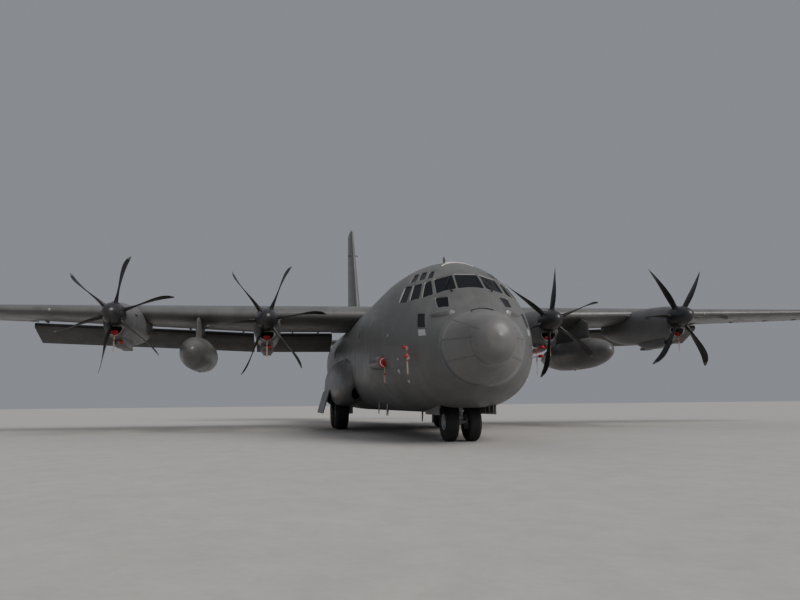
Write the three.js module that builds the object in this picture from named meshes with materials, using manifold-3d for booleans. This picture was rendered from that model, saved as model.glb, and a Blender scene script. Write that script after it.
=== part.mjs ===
// A four-engined high-wing military transport plane, parked on its wheels with its flaps down.
// Every size below is the full-size aircraft's, in millimetres. The whole group is halved at the
// end, because the part is a 1:2 scale model.
// X runs to the aircraft's left, Y runs aft and Z runs up from the ground. A station is a distance
// behind the tip of the nose.
import * as THREE from "three";
import { mergeVertices } from "three/addons/utils/BufferGeometryUtils.js";
import Module from "manifold-3d";

const wasm = await Module();
wasm.setup();

// Driving dimensions
const SCALE = 1 / 2;
const LENGTH = 29790;
const GAP = 1; // between pieces that touch
const WING_GAP = 6; // the same round a wing section, whose nose is steep
const CLEAR = 14; // round pieces that move
const CONTROL_CLEAR = 24; // round the rudder, the elevators and the ailerons
const HULL_WALL = 80;
const AFT_WALL = 50; // behind the ramp's hinge
const TAIL_SKIN = 30;
const RING_POINTS = 32;

const RADOME_END = 1150;
const COCKPIT_END = 5460;
const RAMP_HINGE = 17960;
const RAMP_END = 21300;
const AFT_DOOR_END = 25200;
const HOLLOW_END = 28700;
const FLOOR_TOP = 1030;
const FLOOR_THICK = 90;
const DECK_TOP = 2450;
const RAMP_HALF_WIDTH = 1400;
const RAMP_TOP = 2100; // at its rear end
const RAMP_SKIN = 80; // of the ramp's and the aft door's inside face
const AFT_DOOR_HALF_WIDTHS = [1300, 850];
const AFT_DOOR_TOP = 3450; // at its rear end
const RAMP_OPEN = 29; // degrees
const SPLIT_SLANT = 25; // degrees that the joint of ramp and aft door leans back going down
const HINGE_HEIGHT = 1000;

const WING_BREAK = 5590;
const FLAP_END_CLEAR = 110; // a lowered outer flap also moves outwards
const FLAP_INNER_START = 2200;
const FLAP_OUTER_END = 14600;
const AILERON_START = 14780;
const AILERON_END = 19500;
const FLAP_LENGTH = 1300; // from its nose to the wing's rear edge
const FLAP_BARE = 620; // the part of it behind the skin that covers its nose
const AILERON_HINGE = 0.74; // share of the chord
const FLAP_DOWN = 31; // degrees
const FLAP_PIVOT = [20, -1250]; // behind the flap's nose, and off the chord line
const FLAP_DROP = 0.01; // share of the chord between the flap and the skin above it

const INNER_ENGINE = 5030;
const OUTER_ENGINE = 10150;
const PROP_AHEAD = 2750; // from the propeller's plane to the leading edge
const INNER_HUB_HEIGHT = 3860;
const OUTER_HUB_HEIGHT = 4059;
const PROP_RADIUS = 2055;
const SPINNER_RADIUS = 380;

const NOSE_GEAR = 3300;
const LEG_RADIUS = 105;
const NOSE_WHEEL_RADIUS = 495;
const NOSE_WHEEL_WIDTH = 330;
const NOSE_WHEEL_X = 290;
const MAIN_GEAR = NOSE_GEAR + 9770;
const MAIN_WHEEL_SPACING = 1520;
const MAIN_WHEEL_RADIUS = 710;
const MAIN_WHEEL_WIDTH = 510;
const HALF_TRACK = 2175;

const TANK_X = 7650;
const TANK_NOSE = 9650;
const TANK_LENGTH = 6500;
const TANK_RADIUS = 620;
const TANK_HEIGHT = 2890;

// The body's outline: station, half width, top, bottom, height of the widest line, fullness of
// the lower half (2 is an ellipse)
const BODY = [
  [0, 40, 2390, 2310, 2350, 2],
  [60, 260, 2620, 2080, 2350, 2],
  [250, 470, 2830, 1850, 2345, 2],
  [600, 650, 2970, 1640, 2330, 2],
  [1150, 980, 3120, 1360, 2300, 2.1],
  [1500, 1230, 3400, 1150, 2310, 2.2],
  [1950, 1480, 3800, 980, 2330, 2.3],
  [2350, 1650, 4160, 880, 2370, 2.4],
  [2800, 1800, 4440, 830, 2420, 2.5],
  [3400, 1950, 4690, 785, 2500, 2.7],
  [4100, 2080, 4800, 745, 2570, 2.9],
  [5460, 2160, 4850, 720, 2600, 3],
  [16100, 2160, 4850, 720, 2600, 3],
  [17000, 2160, 4850, 725, 2610, 3],
  [17960, 2155, 4855, 770, 2650, 3],
  [19500, 2120, 4860, 1250, 2860, 3],
  [21300, 2000, 4870, 1830, 3130, 3],
  [23000, 1780, 4885, 2430, 3450, 3],
  [25200, 1370, 4900, 3200, 3940, 2.6],
  [27200, 890, 4910, 3770, 4300, 2.2],
  [28800, 440, 4880, 4230, 4540, 2],
  [29790, 90, 4760, 4560, 4650, 2],
];

// The wing: distance from the centre line, leading edge station, its height, chord, thickness as a
// share of the chord, incidence in degrees
const WING = [
  [0, 11600, 4420, 4880, 0.18, 2.2],
  [WING_BREAK, 11600, 4420, 4880, 0.18, 2.2],
  [19900, 12420, 4752, 2500, 0.12, 1],
  [20205, 12700, 4762, 1750, 0.06, 1],
];
// The tailplane, by the same columns
const TAILPLANE = [
  [0, 24950, 4640, 2900, 0.12, 0],
  [7850, 26130, 4640, 1560, 0.1, 0],
  [8025, 26350, 4640, 1080, 0.06, 0],
];
// The fin: height, leading edge station, sideways place, chord, thickness share, incidence
const FIN = [
  [4500, 23050, 0, 5900, 0.11, 0],
  [11650, 26150, 0, 2420, 0.1, 0],
  [11840, 26500, 0, 1850, 0.05, 0],
];

const radians = THREE.MathUtils.degToRad;
const yAt = (station) => station - LENGTH / 2;
const paint = (colour, roughness, metalness) =>
  new THREE.MeshStandardMaterial({ color: colour, roughness, metalness });
const GREY = paint(0x7d8283, 0.5, 0.1);
const RADOME_GREY = paint(0x868a8d, 0.45, 0.1);
const DARK_GREY = paint(0x2b2e30, 0.4, 0.2);
const GLASS = paint(0x10161b, 0.08, 0.1);
const RUBBER = paint(0x17171a, 0.85, 0);
const STEEL = paint(0xa9adb0, 0.35, 0.8);
const INTERIOR = paint(0x4d5654, 0.7, 0.1);

const aircraft = new THREE.Group();
const hinges = {};

// Solids: closed surfaces and the joins and cuts between them

// A closed surface through rings of points, with both ends capped from their middles.
function loft(rings) {
  const count = rings[0].length;
  const points = rings.flat();
  const index = [];
  for (let ring = 0; ring + 1 < rings.length; ring++) {
    for (let i = 0; i < count; i++) {
      const a = ring * count + i;
      const b = ring * count + ((i + 1) % count);
      index.push(a, b, a + count, b, b + count, a + count);
    }
  }
  for (const [start, ring] of [
    [0, rings[0]],
    [points.length - count, rings.at(-1)],
  ]) {
    const middle = points.push([0, 1, 2].map((k) => mean(ring.map((p) => p[k])))) - 1;
    for (let i = 0; i < count; i++) {
      const pair = [start + i, start + ((i + 1) % count)];
      if (start === 0) pair.reverse();
      index.push(...pair, middle);
    }
  }
  const geometry = new THREE.BufferGeometry();
  geometry.setAttribute("position", new THREE.Float32BufferAttribute(points.flat(), 3));
  geometry.setIndex(signedVolume(points, index) < 0 ? index.reverse() : index);
  return solidFrom(geometry);
}

function mean(values) {
  return values.reduce((a, b) => a + b, 0) / values.length;
}

function signedVolume(points, index) {
  let volume = 0;
  for (let i = 0; i < index.length; i += 3) {
    const [a, b, c] = [0, 1, 2].map((k) => new THREE.Vector3(...points[index[i + k]]));
    volume += a.dot(b.cross(c));
  }
  return volume;
}

function solidFrom(geometry, matrix = new THREE.Matrix4()) {
  const bare = geometry.clone().applyMatrix4(matrix);
  bare.deleteAttribute("normal");
  bare.deleteAttribute("uv");
  const merged = mergeVertices(bare, 1e-3);
  const mesh = new wasm.Mesh({
    numProp: 3,
    vertProperties: merged.attributes.position.array,
    triVerts: new Uint32Array(merged.index.array),
  });
  return new wasm.Manifold(mesh);
}

function join(...solids) {
  return solids.reduce((a, b) => a.add(b));
}

function cut(solid, ...tools) {
  return tools.reduce((a, b) => a.subtract(b), solid);
}

// A box between two corners given as [x, station, z].
function box(low, high) {
  const size = [0, 1, 2].map((k) => high[k] - low[k]);
  const middle = [0, 1, 2].map((k) => (high[k] + low[k]) / 2);
  const geometry = new THREE.BoxGeometry(...size);
  geometry.translate(middle[0], yAt(middle[1]), middle[2]);
  return solidFrom(geometry);
}

// A cylinder from one point to another, both [x, station, z].
function rod(from, to, radius, sides = 16) {
  const a = new THREE.Vector3(from[0], yAt(from[1]), from[2]);
  const b = new THREE.Vector3(to[0], yAt(to[1]), to[2]);
  const direction = b.clone().sub(a);
  const geometry = new THREE.CylinderGeometry(radius, radius, direction.length(), sides);
  const turn = new THREE.Quaternion().setFromUnitVectors(
    new THREE.Vector3(0, 1, 0),
    direction.clone().normalize(),
  );
  const matrix = new THREE.Matrix4().compose(
    a.add(b).multiplyScalar(0.5),
    turn,
    new THREE.Vector3(1, 1, 1),
  );
  return solidFrom(geometry, matrix);
}

// A turned shape: profile points are [radius, distance along the axis]. The axis leaves the centre
// [x, station, z] along X or Y.
function turned(profile, centre, axis, sides = 24) {
  const geometry = new THREE.LatheGeometry(
    profile.map((p) => new THREE.Vector2(...p)),
    sides,
  );
  const matrix = new THREE.Matrix4();
  if (axis === "x") matrix.makeRotationZ(-Math.PI / 2);
  matrix.setPosition(centre[0], yAt(centre[1]), centre[2]);
  const solid = solidFrom(geometry, matrix);
  return solid;
}

function add(name, solid, material) {
  const made = solid.getMesh();
  const geometry = new THREE.BufferGeometry();
  geometry.setAttribute("position", new THREE.BufferAttribute(made.vertProperties, 3));
  geometry.setIndex(new THREE.BufferAttribute(made.triVerts, 1));
  geometry.computeVertexNormals();
  const mesh = new THREE.Mesh(geometry, material);
  mesh.name = name;
  aircraft.add(mesh);
}

// Records the line that a moving piece turns on, from two points [x, y, z].
function hinge(name, from, to) {
  hinges[name] = { from, to };
}

// Tables: a column's value at a place along the first column

function linear(table, at, column) {
  const last = table.length - 1;
  let i = 0;
  while (i < last - 1 && at > table[i + 1][0]) i++;
  const share = (at - table[i][0]) / (table[i + 1][0] - table[i][0]);
  return THREE.MathUtils.lerp(table[i][column], table[i + 1][column], share);
}

// On a smooth curve that passes through every row and never overshoots between two.
function smooth(table, at, column) {
  const last = table.length - 1;
  const slopeAfter = (i) =>
    (table[i + 1][column] - table[i][column]) / (table[i + 1][0] - table[i][0]);
  const tangent = (i) => {
    if (i === 0) return slopeAfter(0);
    if (i === last) return slopeAfter(last - 1);
    const before = slopeAfter(i - 1);
    const after = slopeAfter(i);
    return before * after <= 0 ? 0 : (2 * before * after) / (before + after);
  };
  let i = 0;
  while (i < last - 1 && at > table[i + 1][0]) i++;
  const step = table[i + 1][0] - table[i][0];
  const t = (at - table[i][0]) / step;
  return (
    (1 + 2 * t) * (1 - t) ** 2 * table[i][column] +
    t * (1 - t) ** 2 * step * tangent(i) +
    t * t * (3 - 2 * t) * table[i + 1][column] +
    t * t * (t - 1) * step * tangent(i + 1)
  );
}

// The body

// The body is straight between these stations.
const BODY_STATIONS = [
  0, 25, 60, 140, 250, 410, 600, 870, 1150, 1350, 1600, 1850, 2100, 2350, 2600, 2850, 3150, 3500,
  4100, 5460, 10800, 16100, 16600, 17100, 17960, 18700, 19500, 21300, 23000, 24100, 25200, 27200,
  28800, 29400, 29790,
];

// The point of the body's outline at one of those stations, turned from the top towards the left.
function outlinePoint(station, angle, inset) {
  const [width, top, bottom, wide, full] = [1, 2, 3, 4, 5].map((c) => smooth(BODY, station, c));
  const upper = Math.cos(angle) >= 0;
  const power = 2 / (upper ? 2 : full);
  const height = (upper ? top - wide : wide - bottom) - inset;
  const side = Math.sign(Math.sin(angle)) * Math.abs(Math.sin(angle)) ** power;
  const rise = Math.sign(Math.cos(angle)) * Math.abs(Math.cos(angle)) ** power;
  return [(width - inset) * side, yAt(station), wide + height * rise];
}

function bodyPoint(station, angle, inset = 0) {
  const after = Math.max(1, BODY_STATIONS.findIndex((s) => s >= station));
  const [front, back] = [BODY_STATIONS[after - 1], BODY_STATIONS[after]];
  const share = (station - front) / (back - front);
  const [a, b] = [front, back].map((s) => outlinePoint(s, angle, inset));
  return a.map((value, k) => THREE.MathUtils.lerp(value, b[k], share));
}

// How far out the skin is below the widest line.
function skinAt(station, z) {
  const [width, , bottom, wide, full] = [1, 2, 3, 4, 5].map((c) => smooth(BODY, station, c));
  const share = (wide - z) / (wide - bottom);
  return width * (1 - share ** full) ** (1 / full);
}

function bodyLoft(from, to, inset = 0) {
  const stations = [from, ...BODY_STATIONS.filter((s) => s > from && s < to), to];
  const angles = Array.from({ length: RING_POINTS }, (_, i) => (2 * Math.PI * i) / RING_POINTS);
  return loft(stations.map((s) => angles.map((a) => bodyPoint(s, a, inset))));
}

// The whole body, the same grown by a gap, the cockpit's room and the hold's room. Each piece of the
// body is a slice of these.
const wholeBody = bodyLoft(0, LENGTH);
const grownBody = bodyLoft(0, LENGTH, -GAP);
const cockpitRoom = (inset) => bodyLoft(RADOME_END + 120, COCKPIT_END + 50, inset);
const holdRoom = (inset) => bodyLoft(COCKPIT_END - 100, HOLLOW_END, inset);

function slice(solid, from, to) {
  return solid.intersect(box([-3000, from, -1000], [3000, to, 13000]));
}

function radome() {
  add("radome", slice(wholeBody, -10, RADOME_END - GAP), RADOME_GREY);
}

// Cockpit windows: name, then the corners as [station, degrees from the top]. They repeat on the
// right side with the angle turned over, apart from the centre one.
const WINDOWS = [
  ["centre", [1915, -12.6], [1915, 12.6], [2400, 9.4], [2400, -9.4]],
  ["front", [1925, 15.2], [2035, 33.5], [2490, 27], [2410, 12.2]],
  ["lower_a", [2075, 36.8], [2230, 46], [2590, 34.5], [2530, 29.8]],
  ["lower_b", [2300, 48], [2560, 54], [2860, 42], [2650, 36.8]],
  ["lower_c", [2650, 56], [2990, 58.5], [3190, 46], [2920, 42.8]],
  ["upper_a", [2590, 26.8], [2700, 30.5], [2970, 24.5], [2900, 21]],
  ["upper_b", [2760, 32.2], [2910, 36], [3190, 29.5], [3050, 25.8]],
  ["upper_c", [2980, 37.5], [3180, 41.5], [3400, 34], [3250, 30.8]],
  ["chin", [1510, 34], [1675, 42.5], [1935, 37.5], [1770, 27.5]],
];

// The prism through the wall under a window.
function windowCut(corners) {
  const outward = corners.map(([s, d]) => bodyPoint(s, radians(d), -200));
  const inward = corners.map(([s, d]) => bodyPoint(s, radians(d), 260));
  return loft([inward, outward]);
}

function windowCuts() {
  const cuts = [];
  for (const [name, ...corners] of WINDOWS) {
    cuts.push(windowCut(corners));
    if (name !== "centre") cuts.push(windowCut(corners.map(([s, d]) => [s, -d])));
  }
  return cuts;
}

const NOSE_BAY = { half: 700, from: 2600, to: 4000, top: 1200, lining: 60 };
const CREW_DOOR = { from: 3740, to: 4560, low: 1120, high: 2640 };

function crewDoorBlock(grow) {
  const { from, to, low, high } = CREW_DOOR;
  return box([900, from - grow, low - grow], [2600, to + grow, high + grow]);
}

function cockpit() {
  const outer = slice(wholeBody, RADOME_END, COCKPIT_END - GAP);
  const inner = cockpitRoom(HULL_WALL);
  const wall = outer.subtract(inner);
  const { half, from, to, top, lining } = NOSE_BAY;
  const bay = box([-half, from, 0], [half, to, top]);
  const well = box([-half - lining, from - lining, 0], [half + lining, to + lining, top + lining]);
  const legHole = rod([0, NOSE_GEAR, top - 50], [0, NOSE_GEAR, top + 150], LEG_RADIUS + GAP, 16);
  const lined = join(wall, well.intersect(wholeBody));
  add("cockpit_shell", cut(lined, bay, legHole, crewDoorBlock(CLEAR), ...windowCuts()), GREY);
  add("crew_door", wall.intersect(crewDoorBlock(0)), GREY);
  // The hinge runs just outside the skin, along the door's lower edge.
  const hingeZ = CREW_DOOR.low - CLEAR / 2;
  const hingeX = skinAt(CREW_DOOR.to, hingeZ) + 10;
  hinge("crew_door", [hingeX, yAt(CREW_DOOR.from), hingeZ], [hingeX, yAt(CREW_DOOR.to), hingeZ]);

  const outside = cockpitRoom(HULL_WALL + GAP);
  const inside = cockpitRoom(HULL_WALL + 25);
  const band = box([-2500, 1420, 3130], [2500, 3480, 4470]);
  add("cockpit_glazing", outside.subtract(inside).intersect(band), GLASS);
}

const BULKHEAD = 5370;
// The cargo floor begins behind the nose gear's bay.
const VESTIBULE = NOSE_BAY.to + NOSE_BAY.lining + GAP;

function floorPlank(grow) {
  return box(
    [-2200, VESTIBULE, FLOOR_TOP - FLOOR_THICK - grow],
    [2200, RAMP_HINGE - 20, FLOOR_TOP + grow],
  );
}

function flightDeck() {
  const room = cockpitRoom(HULL_WALL + 30);
  const floor = box([-2200, 1750, DECK_TOP - 80], [2200, BULKHEAD + 10, DECK_TOP]);
  const panel = box([-1050, 1960, DECK_TOP - 10], [1050, 2110, DECK_TOP + 950]);
  const bulkhead = box([-2200, BULKHEAD, FLOOR_TOP + GAP], [2200, BULKHEAD + 60, 4900]);
  const doorway = box([-450, BULKHEAD - 10, DECK_TOP], [450, BULKHEAD + 70, DECK_TOP + 1700]);
  const hatch = box([-1500, BULKHEAD - 10, FLOOR_TOP], [-700, BULKHEAD + 70, DECK_TOP - 200]);
  const pieces = [floor, panel, cut(bulkhead, doorway, hatch)].map((piece) =>
    piece.intersect(room),
  );
  for (const side of [-1, 1]) {
    const x = side * 560;
    pieces.push(box([x - 110, 2800, DECK_TOP - 10], [x + 110, 3100, DECK_TOP + 320]));
    pieces.push(box([x - 250, 2700, DECK_TOP + 300], [x + 250, 3220, DECK_TOP + 420]));
    pieces.push(box([x - 240, 3130, DECK_TOP + 400], [x + 240, 3250, DECK_TOP + 1150]));
  }
  pieces.push(box([-170, 2100, DECK_TOP - 10], [170, 3050, DECK_TOP + 380]));
  add("flight_deck", join(...pieces), INTERIOR);
}

const PARATROOP_DOOR = { from: 16940, to: 17850, low: FLOOR_TOP + 20, high: 2880 };

function paratroopBlock(side, grow) {
  const { from, to, low, high } = PARATROOP_DOOR;
  const xs = [side * 1300, side * 2600].sort((a, b) => a - b);
  return box([xs[0], from - grow, low - grow], [xs[1], to + grow, high + grow]);
}

function cargoFuselage() {
  const outer = slice(wholeBody, COCKPIT_END, RAMP_HINGE - GAP);
  const inner = holdRoom(HULL_WALL);
  const wall = outer.subtract(inner);
  const doors = [1, -1].map((side) => paratroopBlock(side, GAP));
  add("cargo_fuselage", cut(wall, wingBody(WING_GAP), ...doors), GREY);
  for (const [name, side] of [["left", 1], ["right", -1]]) {
    add("paratroop_door_" + name, wall.intersect(paratroopBlock(side, 0)), GREY);
  }
  const room = bodyLoft(VESTIBULE - 100, RAMP_HINGE, HULL_WALL + GAP);
  add("cargo_floor", floorPlank(0).intersect(room), INTERIOR);
}

// The wedge that the ramp or the aft door fills, down to below the body: the front and the back end
// of its inside face as [station, z], its half widths there, and how its ends lean.
function doorWedge(front, back, half, slants) {
  const low = -500;
  const foot = (end, slant) => end[0] + (end[1] - low) * Math.tan(radians(slant));
  const ring = (sign) => [
    [sign * half[0], yAt(front[0]), front[1]],
    [sign * half[1], yAt(back[0]), back[1]],
    [sign * half[1], yAt(foot(back, slants[1])), low],
    [sign * half[0], yAt(foot(front, slants[0])), low],
  ];
  return loft([ring(-1), ring(1)]);
}

function rampWedge(grow) {
  const bevel = (HINGE_HEIGHT + 500) * Math.tan(radians(RAMP_OPEN));
  const wedge = doorWedge(
    [RAMP_HINGE - grow, FLOOR_TOP + grow],
    [RAMP_END - CLEAR + grow, RAMP_TOP + grow],
    [RAMP_HALF_WIDTH + grow, RAMP_HALF_WIDTH + grow],
    [0, SPLIT_SLANT],
  );
  if (grow > 0) return wedge;
  const front = (half) => [
    [half, yAt(RAMP_HINGE) - 500, HINGE_HEIGHT],
    [half, yAt(RAMP_HINGE) + CLEAR, HINGE_HEIGHT],
    [half, yAt(RAMP_HINGE) + CLEAR + bevel, -500],
    [half, yAt(RAMP_HINGE) - 500, -500],
  ];
  return cut(
    wedge,
    loft([front(-2000), front(2000)]),
    box([-2000, RAMP_HINGE - 500, HINGE_HEIGHT - 50], [2000, RAMP_HINGE + CLEAR, 2000]),
  );
}

function aftDoorWedge(grow) {
  return doorWedge(
    [RAMP_END - grow, RAMP_TOP + grow],
    [AFT_DOOR_END + grow, AFT_DOOR_TOP + grow],
    AFT_DOOR_HALF_WIDTHS.map((half) => half + grow),
    [SPLIT_SLANT, 0],
  );
}

function aftFuselage() {
  const outer = slice(wholeBody, RAMP_HINGE, LENGTH + 10);
  const wall = outer.subtract(holdRoom(AFT_WALL));
  const shell = cut(wall, rampWedge(CLEAR), aftDoorWedge(CLEAR), tailBody(TAILPLANE, WING_GAP));
  add("aft_fuselage", shell, GREY);

  const inside = doorWedge(
    [RAMP_HINGE - 200, FLOOR_TOP - RAMP_SKIN],
    [RAMP_END - 150, RAMP_TOP - RAMP_SKIN],
    [RAMP_HALF_WIDTH - RAMP_SKIN, RAMP_HALF_WIDTH - RAMP_SKIN],
    [0, SPLIT_SLANT],
  );
  const skinned = inside.intersect(holdRoom(AFT_WALL));
  add("cargo_ramp", cut(outer.intersect(rampWedge(0)), skinned), GREY);
  hinge(
    "cargo_ramp",
    [-RAMP_HALF_WIDTH, yAt(RAMP_HINGE) + CLEAR, HINGE_HEIGHT],
    [RAMP_HALF_WIDTH, yAt(RAMP_HINGE) + CLEAR, HINGE_HEIGHT],
  );
  const under = outer.intersect(aftDoorWedge(0));
  const hollow = doorWedge(
    [RAMP_END - 150, RAMP_TOP - RAMP_SKIN],
    [AFT_DOOR_END - 150, AFT_DOOR_TOP - RAMP_SKIN - 40],
    AFT_DOOR_HALF_WIDTHS.map((half) => half - RAMP_SKIN),
    [SPLIT_SLANT, 0],
  );
  add("aft_cargo_door", cut(under, hollow.intersect(holdRoom(AFT_WALL))), GREY);
  const half = AFT_DOOR_HALF_WIDTHS[1];
  hinge(
    "aft_cargo_door",
    [-half, yAt(AFT_DOOR_END), AFT_DOOR_TOP],
    [half, yAt(AFT_DOOR_END), AFT_DOOR_TOP],
  );
}

// Flying surfaces

// Half the thickness and the camber of a section at a share of its chord, as shares of the chord.
function halfThickness(thick, u) {
  const curve = 0.2969 * Math.sqrt(u) - 0.126 * u - 0.3516 * u ** 2 + 0.2843 * u ** 3 - 0.1 * u ** 4;
  return 5 * thick * curve + 0.0012;
}
const camberAt = (camber, u) => 4 * camber * u * (1 - u);

// Places of a surface: a point at a span, a share of the chord and a height off the chord line.
function flat(table, side) {
  return (span, u, off) => {
    const [lead, height, chord, , tilt] = [1, 2, 3, 4, 5].map((c) => linear(table, span, c));
    const a = radians(tilt);
    const along = u * chord;
    return [
      side * span,
      yAt(lead + along * Math.cos(a) + off * Math.sin(a)),
      height - along * Math.sin(a) + off * Math.cos(a),
    ];
  };
}

function upright(table) {
  return (span, u, off) => {
    const [lead, , chord] = [1, 2, 3].map((c) => linear(table, span, c));
    return [off, yAt(lead + u * chord), span];
  };
}

const SECTION_SHARES = [1, 0.84, 0.68, 0.52, 0.36, 0.22, 0.1, 0.03, 0];

function sectionRing(table, place, span, camber, grow = 0) {
  const chord = linear(table, span, 3);
  const thick = linear(table, span, 4);
  const surface = (u, sign) => chord * (camberAt(camber, u) + sign * halfThickness(thick, u));
  const upper = SECTION_SHARES.map((u) => place(span, u, surface(u, 1) + grow));
  const lower = SECTION_SHARES.slice(0, -1)
    .reverse()
    .map((u) => place(span, u, surface(u, -1) - grow));
  upper.at(-1)[1] -= grow;
  upper[0][1] += grow;
  lower.at(-1)[1] += grow;
  return [...upper, ...lower];
}

const WING_CAMBER = 0.02;

function wingBody(grow = 0, from = -WING_BREAK, to = WING_BREAK) {
  const rings = [from, to].map((x) =>
    sectionRing(WING, flat(WING, Math.sign(x)), Math.abs(x), WING_CAMBER, grow),
  );
  return loft(rings);
}

// The same for the whole span, used to trim what hangs from the wing.
function halfWing(side, from, grow = 0) {
  const spans = [from, 19900, 20205];
  return loft(spans.map((x) => sectionRing(WING, flat(WING, side), x, WING_CAMBER, grow)));
}

const wingTop = (span, u) =>
  linear(WING, span, 3) * (camberAt(WING_CAMBER, u) + halfThickness(linear(WING, span, 4), u));
const wingUnder = (span, u) =>
  linear(WING, span, 3) * (camberAt(WING_CAMBER, u) - halfThickness(linear(WING, span, 4), u));
// Where the flap's nose and the end of the skin that covers it are, as shares of the chord.
const flapNose = (span) => 1 - FLAP_LENGTH / linear(WING, span, 3);
const shroudEnd = (span) => 1 - FLAP_BARE / linear(WING, span, 3);
// The underside of that skin.
const shroudUnder = (span, u) => {
  const [front, rear] = [flapNose(span), shroudEnd(span)];
  const share = (u - front) / (rear - front);
  const skin = linear(WING, span, 3) * THREE.MathUtils.lerp(0.012, 0.004, share);
  return THREE.MathUtils.lerp(wingTop(span, front), wingTop(span, rear), share) - skin;
};

// A cut through the wing between two spans, by corners that a function gives for each span.
function spanwise(side, spans, corners) {
  const place = flat(WING, side);
  return loft(spans.map((x) => corners(x).map(([u, off]) => place(x, u, off))));
}

function flapCove(side, spans) {
  const below = spanwise(side, spans, (x) => [
    [flapNose(x), -900],
    [1.1, -900],
    [1.1, shroudUnder(x, shroudEnd(x))],
    [shroudEnd(x), shroudUnder(x, shroudEnd(x))],
    [flapNose(x), shroudUnder(x, flapNose(x))],
  ]);
  const behind = spanwise(side, spans, (x) => [
    [shroudEnd(x), -900],
    [1.1, -900],
    [1.1, 900],
    [shroudEnd(x), 900],
  ]);
  return below.add(behind);
}

function flap(name, side, from, to) {
  const place = flat(WING, side);
  const rings = [from, to].map((x) => {
    const chord = linear(WING, x, 3);
    const drop = FLAP_DROP * chord;
    const top = (u) => shroudUnder(x, u) - drop;
    const nose = flapNose(x) + 0.008;
    const rear = shroudEnd(x);
    const waist = THREE.MathUtils.lerp(nose, rear, 0.6);
    const middle = (top(nose) + wingUnder(x, nose)) / 2;
    const outline = [
      [nose, middle],
      [nose + 0.008, THREE.MathUtils.lerp(middle, top(nose), 0.6)],
      [nose + 0.032, top(nose + 0.032) - drop],
      [waist, top(waist)],
      [rear, top(rear)],
      [1, 8],
      [1, -8],
      [rear, wingUnder(x, rear)],
      [nose + 0.032, wingUnder(x, nose + 0.032)],
      [nose + 0.008, THREE.MathUtils.lerp(middle, wingUnder(x, nose), 0.7)],
    ];
    return outline.map(([u, off]) => place(x, u, off));
  });
  const [behind, off] = FLAP_PIVOT;
  const pivots = [from, to].map((x) => place(x, flapNose(x) + behind / linear(WING, x, 3), off));
  hinge(name, ...pivots);
  const [a, b] = pivots.map((p) => new THREE.Vector3(...p));
  const axis = b.clone().sub(a).normalize();
  if (axis.x < 0) axis.negate();
  const down = new THREE.Matrix4()
    .makeTranslation(a.x, a.y, a.z)
    .multiply(new THREE.Matrix4().makeRotationAxis(axis, radians(-FLAP_DOWN)))
    .multiply(new THREE.Matrix4().makeTranslation(-a.x, -a.y, -a.z));
  const lowered = rings.map((ring) =>
    ring.map((p) => new THREE.Vector3(...p).applyMatrix4(down).toArray()),
  );
  add(name, loft(lowered), GREY);
}

// A hinged control surface: a round nose about its hinge, then straight faces to the rear edge. It
// is hollow, and open at its inner end.
function controlSurface(name, table, place, from, to, hingeShare, camber = 0) {
  const thick = (x, u) => linear(table, x, 3) * halfThickness(linear(table, x, 4), u);
  const rings = [from, to].map((x) => {
    const chord = linear(table, x, 3);
    const radius = thick(x, hingeShare);
    const middle = chord * camberAt(camber, hingeShare);
    const nose = [90, 120, 150, 180, 210, 240, 270].map((d) => [
      hingeShare + (radius * Math.cos(radians(d))) / chord,
      middle + radius * Math.sin(radians(d)),
    ]);
    return [...nose, [1, -6], [1, 6]].map(([u, off]) => place(x, u, off));
  });
  const room = [from - 20, to - 80].map((x) => {
    const chord = linear(table, x, 3);
    const radius = thick(x, hingeShare);
    const middle = chord * camberAt(camber, hingeShare);
    const front = radius - TAIL_SKIN;
    const reach = (front - 10) / (radius - 6);
    const rear = hingeShare + (1 - hingeShare) * reach;
    return [
      [hingeShare, middle + front],
      [hingeShare, middle - front],
      [rear, middle * (1 - reach) - 10],
      [rear, middle * (1 - reach) + 10],
    ].map(([u, off]) => place(x, u, off));
  });
  const middleAt = (x) => linear(table, x, 3) * camberAt(camber, hingeShare);
  hinge(name, place(from, hingeShare, middleAt(from)), place(to, hingeShare, middleAt(to)));
  add(name, loft(rings).subtract(loft(room)), GREY);
}

// The part of a surface that a control takes, cut out ahead of its round nose.
function controlCut(table, place, from, to, hingeShare) {
  const spans = [from - CONTROL_CLEAR, to + CONTROL_CLEAR];
  const rings = spans.map((x) => {
    const chord = linear(table, x, 3);
    const radius = chord * halfThickness(linear(table, x, 4), hingeShare);
    const front = hingeShare - (radius + CONTROL_CLEAR) / chord;
    return [
      [front, -900],
      [1.2, -900],
      [1.2, 900],
      [front, 900],
    ].map(([u, off]) => place(x, u, off));
  });
  return loft(rings);
}

function wings() {
  const coves = [1, -1].map((side) =>
    flapCove(side, [FLAP_INNER_START - CLEAR, WING_BREAK + 50]),
  );
  const centre = wingBody(0, -WING_BREAK + GAP, WING_BREAK - GAP);
  add("wing_centre", cut(centre, ...coves), GREY);
  for (const [name, side] of [["left", 1], ["right", -1]]) {
    const place = flat(WING, side);
    const outer = cut(
      halfWing(side, WING_BREAK),
      flapCove(side, [WING_BREAK - 50, FLAP_OUTER_END + FLAP_END_CLEAR]),
      controlCut(WING, place, AILERON_START, AILERON_END, AILERON_HINGE),
    );
    add("wing_" + name, outer, GREY);
    flap(`flap_${name}_inner`, side, FLAP_INNER_START, WING_BREAK - CLEAR);
    flap(`flap_${name}_outer`, side, WING_BREAK + CLEAR, FLAP_OUTER_END);
    controlSurface(
      "aileron_" + name,
      WING,
      place,
      AILERON_START,
      AILERON_END,
      AILERON_HINGE,
      WING_CAMBER,
    );
  }
}

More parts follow.
